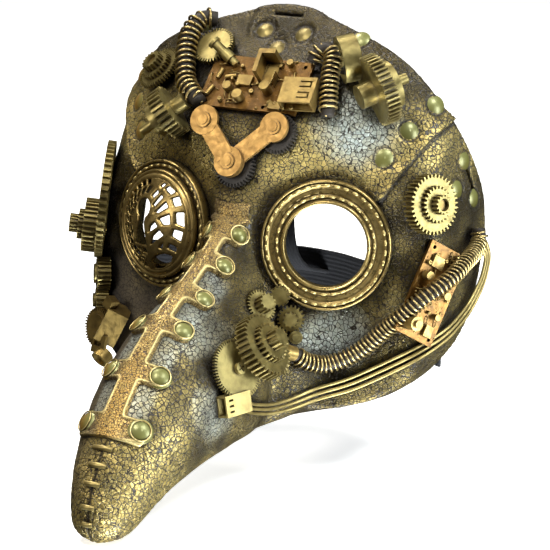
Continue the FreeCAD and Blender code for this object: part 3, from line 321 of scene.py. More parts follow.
def band_leather():
    """The beak band: gold orange with a fine brown crackle, and a pale rubbed lip round its edge."""
    p = Paint("band_leather_look")
    lip, glow, far = (p.mark("tone_marks", c) for c in ("Red", "Green", "Blue"))
    crack, flake = crackle(p, 1.2, 0.14)
    crack = p.math("MAXIMUM", crack, p.math("MULTIPLY", lip, 0.9))
    body = p.mix(p.span(p.noise(4.0, 4), 0.35, 0.68), (0.39, 0.255, 0.072), (0.24, 0.155, 0.05))
    body = p.mix(p.math("MULTIPLY", glow, 0.7), body, (0.75, 0.45, 0.11))
    body = p.mix(p.math("MULTIPLY", flake, 0.35), body, (0.56, 0.45, 0.17))
    body = p.mix(far, body, (0.15, 0.115, 0.06))
    colour = p.mix(p.math("MULTIPLY", lip, 0.7), body, (0.60, 0.50, 0.22))
    colour = p.mix(p.span(crack, 0.1, 0.9), (0.05, 0.026, 0.01), colour)
    # painted shade: ambient occlusion darkens the corners
    unshaded = p.span(p.corners(2.2), 0.2, 0.75, smooth=True)
    colour = p.mix(unshaded, (0.012, 0.012, 0.008), colour)
    p.bumps([(p.noise(0.4, 3), 0.05), (crack, 0.2)])
    return p.finish(colour, p.span(p.noise(1.5), 0.3, 0.7, 0.3, 0.44), p.span(crack, 0, 1, 0.2, 0.7))


def satin_olive():
    """Rivet heads: olive green at the foot and pale and greenish on top as a painted highlight, with an
    orange tint painted on one side as warm light, and painted shade where they meet the leather.
    """
    p = Paint("satin_olive")
    facing = p.add("ShaderNodeNewGeometry")
    split = p.add("ShaderNodeSeparateXYZ")
    p.feed(split.inputs[0], facing.outputs["Normal"])
    # painted highlight: lighter where the head faces up
    high = p.span(split.outputs["Z"], -0.2, 0.9, smooth=True)
    colour = p.mix(high, (0.10, 0.092, 0.02), (0.19, 0.19, 0.06))
    # painted warm light: an orange tint on the side that faces -X
    painted_warm_side = p.span(split.outputs["X"], 0.05, -0.75, smooth=True)
    colour = p.mix(p.math("MULTIPLY", painted_warm_side, 0.6), colour, (0.34, 0.165, 0.03))
    colour = p.mix(p.span(p.noise(1.8, 4), 0.55, 0.8, 0, 0.35), colour, (0.12, 0.10, 0.03))
    # painted shade round the foot of each head
    colour = p.mix(p.span(p.corners(0.8), 0.3, 0.8), (0.03, 0.025, 0.01), colour)
    p.bumps([(p.noise(0.9, 3), 0.02)])
    return p.finish(colour, p.span(p.noise(1.3), 0.3, 0.7, 0.3, 0.42), 0.35)


def board_paint():
    """Gold-painted circuit board: tracks and pads stand just proud, with painted shade darkening the joints
    and corners round the parts on it.
    """
    p = Paint("board_paint")
    relief = p.span(p.cells(1.9, feature="F1", rand=0.35), 0.16, 0.24)
    colour = p.mix(p.span(p.noise(4.0, 4), 0.35, 0.7), (0.165, 0.082, 0.014), (0.07, 0.034, 0.008))
    colour = p.mix(relief, (0.16, 0.085, 0.02), colour)
    # painted shade: ambient occlusion darkens the corners and joints
    colour = p.mix(p.span(p.corners(2.4), 0.15, 0.75, smooth=True), (0.03, 0.015, 0.005), colour)
    p.bumps([(relief, 0.12), (p.noise(0.5, 3), 0.04)])
    return p.finish(colour, p.span(p.noise(1.5), 0.3, 0.7, 0.28, 0.45), 0.75)


def dark_matt(name, colour, rough):
    """A dull, nearly black surface."""
    p = Paint(name)
    shade = p.mix(p.noise(2.0, 4), colour, tuple(c * 2.2 + 0.004 for c in colour))
    p.bumps([(p.noise(0.4, 3), 0.04)])
    return p.finish(shade, rough, 0.0, 0.25)


def woven_elastic():
    """Black ribbed elastic: lengthwise ribs crossed by fine weft threads."""
    p = Paint("woven_elastic")
    weft = p.add("ShaderNodeTexWave", wave_type="BANDS", bands_direction="X")
    p.feed(weft.inputs["Vector"], p.place)
    weft.inputs["Scale"].default_value = 0.75
    weft.inputs["Distortion"].default_value = 1.4
    fuzz = p.noise(0.3, 3)
    colour = p.mix(weft.outputs["Fac"], (0.004, 0.004, 0.005), (0.011, 0.011, 0.014))
    colour = p.mix(p.span(fuzz, 0.45, 0.75, 0, 0.5), colour, (0.02, 0.02, 0.024))
    p.bumps([(fuzz, 0.05), (weft.outputs["Fac"], 0.08)])
    p.shader.inputs["Sheen Weight"].default_value = 0.08
    p.shader.inputs["Sheen Roughness"].default_value = 0.4
    return p.finish(colour, 0.72, 0.0, 0.3)


def dress(names, material):
    """Give CAD nodes a material."""
    for name in names:
        data = NODES[name].data
        data.materials.clear()
        data.materials.append(material)
        for face in data.polygons:
            face.material_index = 0


# ------------------------------------------------------------------ mesh helpers
def piece(name, data, material):
    """A visual piece that rides on the mask, smoothly shaded."""
    made = bpy.data.objects.new(name, data)
    bpy.context.scene.collection.objects.link(made)
    data.materials.clear()
    data.materials.append(material)
    data.polygons.foreach_set("use_smooth", [True] * len(data.polygons))
    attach(made, "mask")
    return made


def mesh_of(name, points, faces):
    """A mesh from points in metres and faces."""
    data = bpy.data.meshes.new(name)
    data.from_pydata([tuple(q) for q in points], [], faces)
    data.update()
    return data


def points_of(data):
    flat = np.empty(len(data.vertices) * 3)
    data.vertices.foreach_get("co", flat)
    return flat.reshape(-1, 3)


def normals_of(data):
    flat = np.empty(len(data.vertices) * 3)
    data.vertex_normals.foreach_get("vector", flat)
    return flat.reshape(-1, 3)


def put_points(data, points):
    data.vertices.foreach_set("co", points.astype(float).ravel())
    data.update()


def remeshed(node, fine, relax):
    data = NODES[node].data.copy()
    made = bpy.data.objects.new(node + "_remesh", data)
    bpy.context.scene.collection.objects.link(made)
    grid = made.modifiers.new("grid", "REMESH")
    grid.mode = "VOXEL"
    grid.voxel_size = fine * MM
    ease = made.modifiers.new("ease", "SMOOTH")
    ease.iterations = relax
    ease.factor = 0.5
    shaped = bpy.data.meshes.new_from_object(made.evaluated_get(bpy.context.evaluated_depsgraph_get()))
    bpy.data.objects.remove(made)
    return shaped


def islands(data):
    """The points of each separate solid in a mesh."""
    work = bmesh.new()
    work.from_mesh(data)
    bmesh.ops.remove_doubles(work, verts=work.verts, dist=1e-6)
    work.verts.ensure_lookup_table()
    seen, found = set(), []
    for start in work.verts:
        if start.index in seen:
            continue
        group, queue = [], [start]
        seen.add(start.index)
        while queue:
            now = queue.pop()
            group.append(now.co.copy())
            for edge in now.link_edges:
                other = edge.other_vert(now)
                if other.index not in seen:
                    seen.add(other.index)
                    queue.append(other)
        found.append(np.array(group))
    work.free()
    return found


def smoothstep(value, low, high):
    """0 below low, 1 above high, and a smooth rise between."""
    share = np.clip((value - low) / (high - low), 0, 1)
    return share * share * (3 - 2 * share)


def blob(points, centre, radius):
    """1 at the centre, fading to 0 over the radius, in millimetres."""
    away = np.linalg.norm(points / MM - np.array(centre), axis=1)
    return smoothstep(-away, -radius, -radius * 0.25)


def colour_marks(data, name, channels):
    """Keep three values for each point, as a colour for the materials to read."""
    layer = data.attributes.new(name, "FLOAT_COLOR", "POINT")
    rgba = np.ones((len(data.vertices), 4))
    for k, channel in enumerate(channels):
        rgba[:, k] = np.clip(channel, 0, 1)
    layer.data.foreach_set("color", rgba.ravel())


def value_marks(data, name, values):
    """Keep one value for each point, for the materials to read."""
    layer = data.attributes.new(name, "FLOAT", "POINT")
    layer.data.foreach_set("value", np.asarray(values, float))


def smooth_path(points, count):
    """Points evenly along a Catmull-Rom curve through the given ones."""
    way = [Vector(q) for q in points]
    way = [2 * way[0] - way[1]] + way + [2 * way[-1] - way[-2]]
    fine = []
    for i in range(1, len(way) - 2):
        a, b, c, d = way[i - 1:i + 3]
        for k in range(24):
            t = k / 24
            fine.append(0.5 * (2 * b + (c - a) * t + (2 * a - 5 * b + 4 * c - d) * t * t
                               + (3 * b - a - 3 * c + d) * t ** 3))
    fine.append(way[-2])
    runs = [0.0]
    for p, q in zip(fine, fine[1:]):
        runs.append(runs[-1] + (q - p).length)
    out, k = [], 0
    for step in range(count):
        want = runs[-1] * step / (count - 1)
        while k < len(fine) - 2 and runs[k + 1] < want:
            k += 1
        share = (want - runs[k]) / max(runs[k + 1] - runs[k], 1e-12)
        out.append(fine[k].lerp(fine[k + 1], min(share, 1.0)))
    return out, runs[-1]


def frames(path):
    """Two cross directions at each point, turning as little as they can along the path."""
    out = []
    cross = None
    for k in range(len(path)):
        along = (path[min(k + 1, len(path) - 1)] - path[max(k - 1, 0)]).normalized()
        if cross is None:
            cross = along.orthogonal().normalized()
        cross = (cross - along * cross.dot(along)).normalized()
        out.append((cross.copy(), along.cross(cross)))
    return out


def ring_faces(rings, sides, closed=False):
    """Faces that join rings of points, one ring to the next."""
    faces = []
    for k in range(rings if closed else rings - 1):
        here, there = k * sides, (k + 1) % rings * sides
        for s in range(sides):
            n = (s + 1) % sides
            faces.append((here + s, here + n, there + n, there + s))
    return faces


def tube(path, radius, sides=8):
    """Points and faces of a round tube with closed ends."""
    points = []
    for spot, (u, v) in zip(path, frames(path)):
        for s in range(sides):
            angle = 2 * math.pi * s / sides
            points.append(spot + (u * math.cos(angle) + v * math.sin(angle)) * radius)
    caps = [tuple(range(sides))[::-1], tuple(range((len(path) - 1) * sides, len(path) * sides))]
    return points, ring_faces(len(path), sides) + caps


def gather(parts):
    """Join (points, faces) pairs into one pair."""
    points, faces = [], []
    for more, loops in parts:
        start = len(points)
        points += list(more)
        faces += [tuple(start + i for i in loop) for loop in loops]
    return points, faces


TURN_STEPS = 22


def coil(points, across, wire, pitch):
    """A coil spring along a curve, drawn in where the curve is too tight for it. Lengths in millimetres."""
    _, length = smooth_path(points, 2)
    turns = round(length / pitch)
    spine, _ = smooth_path(points, turns * TURN_STEPS)
    turned = []
    reach = TURN_STEPS + 4
    for k, (spot, (u, v)) in enumerate(zip(spine, frames(spine))):
        before, after = spine[max(k - reach, 0)], spine[min(k + reach, len(spine) - 1)]
        sag = ((before + after) / 2 - spot).length
        chord = (after - before).length / 2
        bend = (sag * sag + chord * chord) / max(2 * sag, 1e-6)
        radius = min((across - wire) / 2, bend * 0.6)
        angle = 2 * math.pi * k / TURN_STEPS
        turned.append((spot + (u * math.cos(angle) + v * math.sin(angle)) * radius) * MM)
    return tube(turned, wire / 2 * MM, 8)


# ------------------------------------------------------------------ shell and band
def rivet_spots():
    """Where the band's rivets sit: centre and outward way, in metres."""
    spots = []
    for group in islands(NODES["bridge_rivets"].data):
        middle = group.mean(axis=0)
        _, _, ways = np.linalg.svd(group - middle, full_matrices=False)
        spots.append((middle, ways[2]))
    return spots


RIVETS = rivet_spots()


def flat_rivets():
    """Centres of the flat rivets, in millimetres."""
    spots = []
    for name in ("crown_rivets", "brow_rivets", "temple_rivets"):
        spots += [group.mean(axis=0) for group in islands(NODES[name].data)]
    return np.array(spots) / MM


PEBBLE = 2.35


def tip_cells(points):
    """Height of the pebbled crackle at the tip of the beak: 1 on a pebble, 0 in the crack lines between them.
    """
    out = np.ones(len(points))
    near = np.where(points[:, 1] < -75 * MM)[0]
    for i in near:
        q = Vector(points[i]) / (PEBBLE * MM)
        shift = noise.noise_vector(q * 0.8) * 0.25
        far, _ = noise.voronoi(q + shift)
        out[i] = min((far[1] - far[0]) / 0.24, 1.0)
    return out


def ripple(p, length, shift=(0, 0, 0)):
    """Smooth noise at each point, in millimetres."""
    return np.array([noise.noise(Vector(q) / length + Vector(shift)) for q in p])


def shell():
    """The leather shell: brow step, strap tab, rivet seats and the sewn, pebbled tip."""
    data = remeshed("mask_shell", 0.62, 2)
    points, out = points_of(data), normals_of(data)
    p = points / MM
    x, y, z = p[:, 0], p[:, 1], p[:, 2]
    side = np.abs(x)
    # the raised forehead panel ends in a step that runs from the rim to the brow
    edge = np.interp(side, [55, 62.6, 72.8, 79.4, 84], [14, 21.9, 40.0, 50.0, 56.0])
    above = z - edge
    lift = 2.2 * smoothstep(above, -0.6, 0.6) * np.exp(-np.maximum(above, 0) / 6.0) * smoothstep(side, 50, 60)
    # painted shade: a dark stripe just under the step, where gold is taken away and the leather is darkened
    below = np.exp(-((above + 1.6) / 1.6) ** 2) * smoothstep(side, 52, 60) * (out[:, 1] < 0.35)
    # the tab with the strap's slot
    lift += 0.9 * smoothstep(-np.abs(x - 1.0), -19.0, -15.0) * smoothstep(z, 80.0, 83.5)
    lift += 0.22 * ripple(p, 7.0)
    # a flat seat and a moat for each flat rivet
    spots = flat_rivets()
    away = np.min(np.linalg.norm(p[:, None, :] - spots[None, :, :], axis=2), axis=1)
    under = 1 - smoothstep(away, 4.2, 7.0)
    moat = np.exp(-((away - 4.7) / 0.45) ** 2)
    lift = lift * (1 - under) - 0.12 * under - 0.35 * moat
    outer = out[:, 1] < 0.35
    # the tip: pebbles, and a seam with a bead on each side
    tip = tip_cells(points)
    at_tip = smoothstep(-z, 57.5, 63.0) * smoothstep(-y, 84, 94)
    seam = np.exp(-(x / 0.5) ** 2) * at_tip
    beads = np.exp(-((np.abs(x) - 1.25) / 0.5) ** 2) * at_tip
    lift += at_tip * (tip * 0.32 - 0.2) * (1 - np.maximum(seam, beads)) - 0.7 * seam + 0.22 * beads
    points += out * (lift * outer)[:, None] * MM
    put_points(data, points)
    random_gold = ripple(p, 11.0, (3, 1, 7))
    # where the paint is rubbed gold or bare, and where it is pale silver: beside the band, and as painted
    # sheen in patches where reflections fall
    gold = 0.27 + 0.55 * random_gold
    gold += 0.75 * smoothstep(z, 16, 30) * smoothstep(-z, -58, -44) * smoothstep(side, 5, 14)
    gold += 0.9 * at_tip
    gold += 0.6 * blob(points, (44, -6, -34), 14)
    gold += 0.35 * blob(points, (-45, 8, 45), 40)
    # less gold on the crown, and less under the step as painted shade
    gold -= 0.65 * smoothstep(z, 56, 68) + 0.5 * below
    gold += 0.6 * np.exp(-((above - 0.8) / 0.7) ** 2) * smoothstep(side, 50, 60)
    gold -= 0.35 * smoothstep(-above, 0.5, 3.0) * smoothstep(side, 58, 66) * smoothstep(z, 0, 12)
    # painted sheen: pale silver patches where reflections fall on the brow, under the eye, on the side of the
    # beak and at the root of the nose
    pewter_and_sheen = 0.9 * blob(points, (50, 12, 52), 24) + 0.95 * blob(points, (47, -5, -39), 20)
    pewter_and_sheen += 0.75 * blob(points, (16, -70, -58), 20) + 0.3 * blob(points, (15, -60, -30), 20)
    pewter_and_sheen += 0.75 * blob(points, (12, -16, 14), 9)
    beside = smoothstep(-side, -14, -11) * smoothstep(z, -57, -54) * smoothstep(-y, 30, 40)
    pewter_and_sheen += 0.35 * beside + 0.35 * random_gold * (pewter_and_sheen > 0.05)
    gold += 0.4 * beside * smoothstep(-z, 15, 45)
    bare = smoothstep(-x, 2, 14) * smoothstep(-z, 10, 24)
    colour_marks(data, "tone_marks", (gold * (1 - 0.8 * bare), pewter_and_sheen, bare))
    # 1 keeps the colour and lower darkens it like a crack: between the pebbles at the tip, in the seam, in
    # the rivet moats, and as painted shade under the step
    value_marks(data, "darken_marks", (1 - 0.55 * at_tip * (1 - np.clip(tip, 0, 1))) * (1 - seam)
                * (1 - 0.85 * moat) * (1 - 0.75 * below))
    made = piece("shell_leather", data, leather("shell_leather", 1.9))
    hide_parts("mask_shell")
    return data


TONGUE = 4.75
UNION = 2.0


def band(ground):
    """The riveted band: tongues under the rivets, and rounded windows between them down to the shell."""
    data = remeshed("bridge_strap", 0.36, 2)
    points, out = points_of(data), normals_of(data)
    p = points / MM
    side, z = np.abs(p[:, 0]), p[:, 2]
    from_spine = side - np.interp(z, [-58, -30, 5], [5.3, 4.5, 3.7])
    from_lobe = np.full(len(p), 1e3)
    for row in (1, -1):
        spots = sorted([s[0] / MM for s in RIVETS if s[0][0] * row > 0], key=lambda q: q[2])
        for k, spot in enumerate(spots):
            along = spots[min(k + 1, 5)] - spots[max(k - 1, 0)]
            along /= np.linalg.norm(along)
            away = p - spot
            run = away @ along
            rise = np.linalg.norm(away - run[:, None] * along, axis=1)
            rise = np.where(p[:, 0] * row > 0, rise * (side > abs(spot[0])), 1e3)
            from_lobe = np.minimum(from_lobe, np.hypot(run, rise) - TONGUE)
    # a smooth union of the middle strip and the tongues
    blend = np.clip(0.5 + 0.5 * (from_lobe - from_spine) / UNION, 0, 1)
    gap = from_lobe * (1 - blend) + from_spine * blend - UNION * blend * (1 - blend)
    ends = np.maximum(smoothstep(z, 7.5, 9.0), smoothstep(-z, 56.0, 57.0))
    window = smoothstep(gap, -0.3, 0.5) * (1 - ends)
    groove = np.exp(-((gap - 0.7) / 0.5) ** 2) * (1 - ends)
    lip = np.exp(-((gap + 0.8) / 0.6) ** 2) * (1 - ends)
    foot = smoothstep(-z, 57.2, 58.6)
    lift = 0.35 * lip + 0.45 * foot - 0.5 * groove - 2.0 * smoothstep(z, 8.0, 14.0)
    lift += 0.12 * ripple(p, 3.0)
    points += out * lift[:, None] * MM
    # the windows sink just under the shell, so that the shell shows in them
    close = [f.vertices[:] for f in ground.polygons if abs(f.center.x) < 0.02 and f.center.y < 0.0]
    tree = BVHTree.FromPolygons([v.co for v in ground.vertices], close)
    for i in np.where(window > 0.02)[0]:
        spot, way, _, _ = tree.find_nearest(Vector(points[i]))
        sunk = np.array(spot - way * 0.5 * MM)
        points[i] += (sunk - points[i]) * window[i]
    put_points(data, points)
    glow = smoothstep(-z, 22, 50) * smoothstep(-side, -9, -2)
    far = smoothstep(-p[:, 0], 3.0, 9.0) * 0.8
    bright = np.maximum(lip, foot) * (1 - 0.6 * far)
    colour_marks(data, "tone_marks", (bright, glow, far))
    value_marks(data, "darken_marks", 1 - 0.9 * groove)
    made = piece("beak_band", data, band_leather())
    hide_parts("bridge_strap")


COLLAR = (4.3, 0.3, 40, 6)


def collars():
    """The thin bright ring round each rivet of the band."""
    radius, wire, steps, sides = COLLAR
    parts = []
    for middle, way in RIVETS:
        way, middle = Vector(way), Vector(middle)
        u = way.orthogonal().normalized()
        v = way.cross(u)
        points = []
        for k in range(steps):
            turn = 2 * math.pi * k / steps
            spot = middle + (u * math.cos(turn) + v * math.sin(turn)) * radius * MM
            outward = (spot - middle).normalized()
            for s in range(sides):
                angle = 2 * math.pi * s / sides
                points.append(spot + (outward * math.cos(angle) + way * math.sin(angle)) * wire * MM)
        parts.append((points, ring_faces(steps, sides, closed=True)))
    data = mesh_of("rivet_collars", *gather(parts))
    gold = gilt("collar_gold", (0.62, 0.5, 0.22), (0.4, 0.3, 0.1), rough=0.34)
    piece("rivet_collars", data, gold)


# ------------------------------------------------------------------ eye rings
EYES = {"left": (Vector((41, 0, 0)), Vector((0.306718, -0.943977, 0.121869))),
        "right": (Vector((-41, 0, 0)), Vector((-0.306718, -0.943977, 0.121869)))}


def stitch(spot, along, out, length, width, high):
    """One raised stitch: a rounded bar with sunk ends."""
    points = []
    across = out.cross(along)
    rings, sides = 7, 8
    for k in range(rings):
        t = -1 + 2 * k / (rings - 1)
        swell = math.sqrt(max(1 - abs(t) ** 3.0, 0.0)) * 0.999 + 0.001
        for s in range(sides):
            angle = 2 * math.pi * s / sides
            points.append(spot + along * (t * length / 2) + across * (math.cos(angle) * width / 2 * swell)
                          + out * (math.sin(angle) * high * swell - high * 0.25 * t * t))
    return points, ring_faces(rings, sides)


def lathe(profile, base, axis, steps=120):
    """A turned ring: a closed outline of (radius, height) points round an axis."""
    u = axis.orthogonal().normalized()
    v = axis.cross(u)
    points, faces = [], []
    size = len(profile)
    for k in range(steps):
        angle = 2 * math.pi * k / steps
        way = u * math.cos(angle) + v * math.sin(angle)
        points += [(base + way * radius + axis * high) * MM for radius, high in profile]
        n = (k + 1) % steps
        for j in range(size):
            m = (j + 1) % size
            faces.append((k * size + j, n * size + j, n * size + m, k * size + m))
    return points, faces


# the outline of an eye ring, as (radius, height), and how far its foot is behind the eye's centre
RING = [(18.0, 0.0), (28.5, 0.0), (28.5, 3.3), (28.4, 4.1), (28.0, 4.6), (27.6, 4.65), (27.3, 4.3),
        (27.15, 3.5), (26.9, 3.4), (26.7, 3.9), (26.0, 4.35), (25.3, 4.1), (25.0, 3.5), (24.6, 3.3),
        (23.6, 3.75), (22.7, 3.8), (22.3, 3.4), (22.0, 3.3), (21.8, 3.9), (21.3, 4.4), (20.7, 4.2),
        (20.4, 3.6), (20.0, 3.5), (19.7, 4.3), (19.2, 5.0), (18.7, 5.3), (18.2, 5.2), (18.0, 4.7)]
RING_SEAT = 4.3
# radius, count and stitch length of each row of stitches
STITCH_ROWS = ((21.25, 31, 3.0), (26.0, 38, 3.0))


def eye_rings():
    """The moulded rings round the eyes, with their grooves, lips and two rows of stitches."""
    brass = gilt("ring_brass", (0.34, 0.245, 0.085), (0.20, 0.14, 0.045), dirt_and_shade=(0.02, 0.011, 0.004),
                 rough=0.3, metal=0.85, reach=2.2, deep=0.7)
    radii, heights = zip(*RING[:1:-1])
    parts = []
    for side, (centre, axis) in EYES.items():
        name = f"eye_ring_{side}"
        base = centre - axis * RING_SEAT
        made = piece(name + "_look", mesh_of(name + "_look", *lathe(RING, base, axis)), brass)
        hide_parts(name)
        u = axis.orthogonal().normalized()
        v = axis.cross(u)
        for radius, count, long in STITCH_ROWS:
            high = np.interp(radius, radii, heights)
            for k in range(count):
                angle = 2 * math.pi * (k + random.uniform(-0.06, 0.06)) / count
                way = u * math.cos(angle) + v * math.sin(angle)
                spot = (base + way * radius + axis * (high - 0.1)) * MM
                parts.append(stitch(spot, axis.cross(way), axis, long * MM, 1.35 * MM, 0.75 * MM))
    data = mesh_of("eye_stitches", *gather(parts))
    gold = gilt("stitch_gold", (0.58, 0.46, 0.18), (0.40, 0.30, 0.11), rough=0.32, reach=0.7)
    piece("eye_stitches", data, gold)


# ------------------------------------------------------------------ pierced dome
DOME_SEAT = 0.3
DOME_RADIUS = 37.06
DOME_SINK = 27.66
DOME_WALL = 1.3
DOME_EDGE = 21.0
# the bezel's outline, as (radius, height)
BEZEL = [(19.9, 0.2), (24.2, 0.0), (24.2, 1.5), (23.9, 2.1), (23.3, 2.3), (22.9, 2.0), (22.6, 1.8),
         (22.3, 2.4), (21.7, 3.0), (20.9, 3.2), (20.2, 3.0), (19.9, 2.4)]
# the openings of the dome, as (towards the nose, up), in millimetres from its middle
KEYHOLE = [(-5.6, 4.4), (-0.4, 4.4), (-1.2, 1.0), (1.0, -9.5), (-7.5, -9.5), (-4.8, 1.0)]
WINDOWS = [
    [(0.3, 12.9), (2.4, 15.8), (3.5, 14.4), (1.4, 12)], [(2.6, 9.2), (5.2, 14), (6.7, 13.2), (3.5, 8.5)],
    [(4.7, 6), (9, 11.4), (10.7, 9.5), (6.8, 6.5)], [(7.5, 3.8), (12.2, 6.4), (13.2, 2.3), (9.8, 1.6)],
    [(2.6, -3), (3, -0.5), (5.4, 2), (7, 0.3)], [(2.8, 17.4), (4.2, 19), (5.3, 18.6), (4.4, 17.2)],
    [(6.2, 16.7), (7.5, 18.2), (11.5, 16.4), (9.8, 14.8)],
    [(11.1, 13.2), (14, 14.6), (16.3, 11.2), (13.3, 10.2)],
    [(14.7, 7.5), (18.2, 8.2), (19.4, 2), (15.8, 3)], [(14.4, -2.7), (15.1, 0.2), (19, -0.3), (18.2, -4.7)],
    [(3.4, -8.6), (4.8, -4.5), (8.2, -1.2), (10.4, -3)], [(7.9, -9.1), (10.5, -6.4), (9.6, -9.2)],
    [(12.1, -8.3), (13.4, -6.4), (16.5, -7.6), (15.9, -9.9)],
    [(2.6, -16.2), (6, -13), (10.5, -11.4), (14, -12), (12.5, -15.2), (8, -18.2), (3, -19.6)]]


def outline_distance(s, u, corners):
    """Signed distance from a grid of points to a polygon: negative inside."""
    near = np.full(s.shape, 1e3)
    inside = np.zeros(s.shape, bool)
    for (a, b), (c, d) in zip(corners, corners[1:] + corners[:1]):
        share = np.clip(((s - a) * (c - a) + (u - b) * (d - b)) / ((c - a) ** 2 + (d - b) ** 2), 0, 1)
        near = np.minimum(near, np.hypot(s - a - share * (c - a), u - b - share * (d - b)))
        if b != d:
            inside ^= ((b > u) != (d > u)) & (s < (c - a) * (u - b) / (d - b) + a)
    return np.where(inside, -near, near)


def left_windows():
    """Small slanted windows between the keyhole and the rim, in three rows."""
    windows = []
    for low, high, step, skew in ((17.6, 20.3, 11, 4), (13.9, 17.0, 13, -6), (10.2, 13.2, 17, 7)):
        for start in range(100, 262, step):
            turn = [math.radians(start), math.radians(start + skew), math.radians(start + skew + step - 3),
                    math.radians(start + step - 3)]
            spots = [(r * math.cos(t), r * math.sin(t)) for r, t in zip((low, high, high, low), turn)]
            if max(q[0] for q in spots) < 1.5:
                windows.append(spots)
    return windows


def dome():
    """A bezel and a spherical cap, pierced by a keyhole and curved windows, over the right eye."""
    centre, axis = EYES["right"]
    foot = centre + axis * DOME_SEAT
    nose = Vector((0.951, -0.309, 0.0))
    up = axis.cross(nose)
    step, reach = ((0.3, 70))
    lane = np.arange(-reach, reach + 1) * step
    s, u = np.meshgrid(lane, lane, indexing="ij")
    field = np.minimum(np.hypot(s + 3, u - 7) - 4.3, outline_distance(s, u, KEYHOLE))
    head = field.copy()
    for corners in WINDOWS:
        field = np.minimum(field, outline_distance(s, u, corners) - 0.1)
    for corners in left_windows():
        field = np.minimum(field, np.maximum(outline_distance(s, u, corners), 1.3 - head))
    for _ in range(2):
        around = field[:-2, 1:-1] + field[2:, 1:-1] + field[1:-1, :-2] + field[1:-1, 2:]
        field[1:-1, 1:-1] = (field[1:-1, 1:-1] * 2 + around) / 6
    field = np.minimum(field, DOME_EDGE - np.hypot(s, u))
    field[np.abs(field) < 1e-3] = 1e-3
    spots, flat, faces = {}, [], []

    def spot(a, b):
        """A grid point, or the point between two of them where the field is zero."""
        key = (min(a, b), max(a, b))
        if key not in spots:
            share = 0.0 if a == b else min(max(field[a] / (field[a] - field[b]), 0.04), 0.96)
            spots[key] = len(flat)
            flat.append((s[a] + (s[b] - s[a]) * share, u[a] + (u[b] - u[a]) * share,
                         field[a] if a == b else 0.0))
        return spots[key]

    for i in range(len(lane) - 1):
        for j in range(len(lane) - 1):
            corners = [(i, j), (i + 1, j), (i + 1, j + 1), (i, j + 1)]
            loop = []
            for a, b in zip(corners, corners[1:] + corners[:1]):
                if field[a] > 0:
                    loop.append(spot(a, a))
                if (field[a] > 0) != (field[b] > 0):
                    loop.append(spot(a, b))
            if len(loop) > 2:
                faces.append(tuple(loop))
    front, back = [], []
    for a, b, depth in flat:
        high = math.sqrt(DOME_RADIUS ** 2 - a * a - b * b) - DOME_SINK
        soft = 0.45 * max(0.0, 1 - depth / 0.7) ** 2
        front.append((foot + nose * a + up * b + axis * (high - soft)) * MM)
        back.append((foot + nose * a + up * b + axis * (high - DOME_WALL)) * MM)
    edges = {(a, b) for loop in faces for a, b in zip(loop, loop[1:] + loop[:1])}
    count = len(flat)
    walls = [(b, a, a + count, b + count) for a, b in edges if (b, a) not in edges]
    backs = [tuple(k + count for k in loop[::-1]) for loop in faces]
    cap = (front + back, faces + backs + walls)
    data = mesh_of("pierced_dome", *gather([cap, lathe(BEZEL, foot, axis)]))
    brass = gilt("dome_brass", (0.36, 0.26, 0.09), (0.22, 0.15, 0.05), rough=0.32, metal=0.85)
    made = piece("pierced_dome", data, brass)
    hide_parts("filigree_dome")


# ------------------------------------------------------------------ springs
# each spring's width, wire, pitch and path, in millimetres
COILS = {
    "forehead_spring_right": (9.6, 1.15, 2.9, [
        (-31.5, 35.5, 87.0), (-37.0, 31.5, 87.4), (-39.5, 25.5, 82.0), (-38.3, 19.3, 75.2),
        (-35.6, 13.8, 69.0), (-32.4, 8.8, 63.2), (-27.0, 4.6, 59.2), (-21.8, 2.0, 56.4)]),
    "forehead_spring_left": (8.6, 1.05, 2.3, [
        (24.0, 20.4, 74.6), (26.0, 22.4, 78.8), (29.8, 24.0, 80.8), (33.4, 21.6, 77.8),
        (34.6, 16.6, 71.8), (36.0, 12.4, 65.4), (37.4, 9.0, 59.6), (38.2, 6.8, 55.4)]),
    "cheek_spring": (8.0, 0.95, 2.1, [
        (36.2, -19.0, -44.2), (39.8, -14.9, -48.2), (45.4, -9.2, -50.2), (51.6, -5.2, -48.4),
        (59.4, -1.3, -43.6), (68.8, 2.0, -34.6), (77.0, 3.0, -26.8), (84.0, 5.6, -20.0),
        (89.7, 11.4, -15.2), (92.9, 19.0, -11.4), (93.6, 28.6, -8.2), (93.0, 40.0, -6.2),
        (92.2, 47.5, -2.8), (91.2, 49.4, 2.6)]),
}


def springs():
    """Wound springs, each over a dark core."""
    brass = gilt("spring_brass", (0.46, 0.355, 0.15), (0.28, 0.20, 0.075), rough=0.3, metal=0.85, reach=1.0)
    dark = dark_matt("spring_core", (0.012, 0.009, 0.006), 0.6)
    for name, (across, wire, pitch, points) in COILS.items():
        wound = mesh_of(name + "_coil", *coil(points, across, wire, pitch))
        made = piece(name + "_coil", wound, brass)
        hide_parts(name)
        spine, _ = smooth_path(points, 90)
        core = tube([q * MM for q in spine], (across / 2 - wire * 1.25) * MM, 16)
        piece(name + "_core", mesh_of(name + "_core", *core), dark)


# ------------------------------------------------------------------ small parts on the boards
def bench(name):
    """Centre, long way, short way and outward way of a circuit board, with its half sizes in metres."""
    data = NODES[name].data
    points = points_of(data)
    middle = (points.max(axis=0) + points.min(axis=0)) / 2
    _, _, ways = np.linalg.svd(points - points.mean(axis=0), full_matrices=False)
    out = ways[2] if ways[2] @ np.array([0.35, -0.85, 0.4]) > 0 else -ways[2]
    reach = [np.abs((points - middle) @ way).max() for way in ways]
    return Vector(middle), Vector(ways[0]), Vector(ways[1]), Vector(out), reach


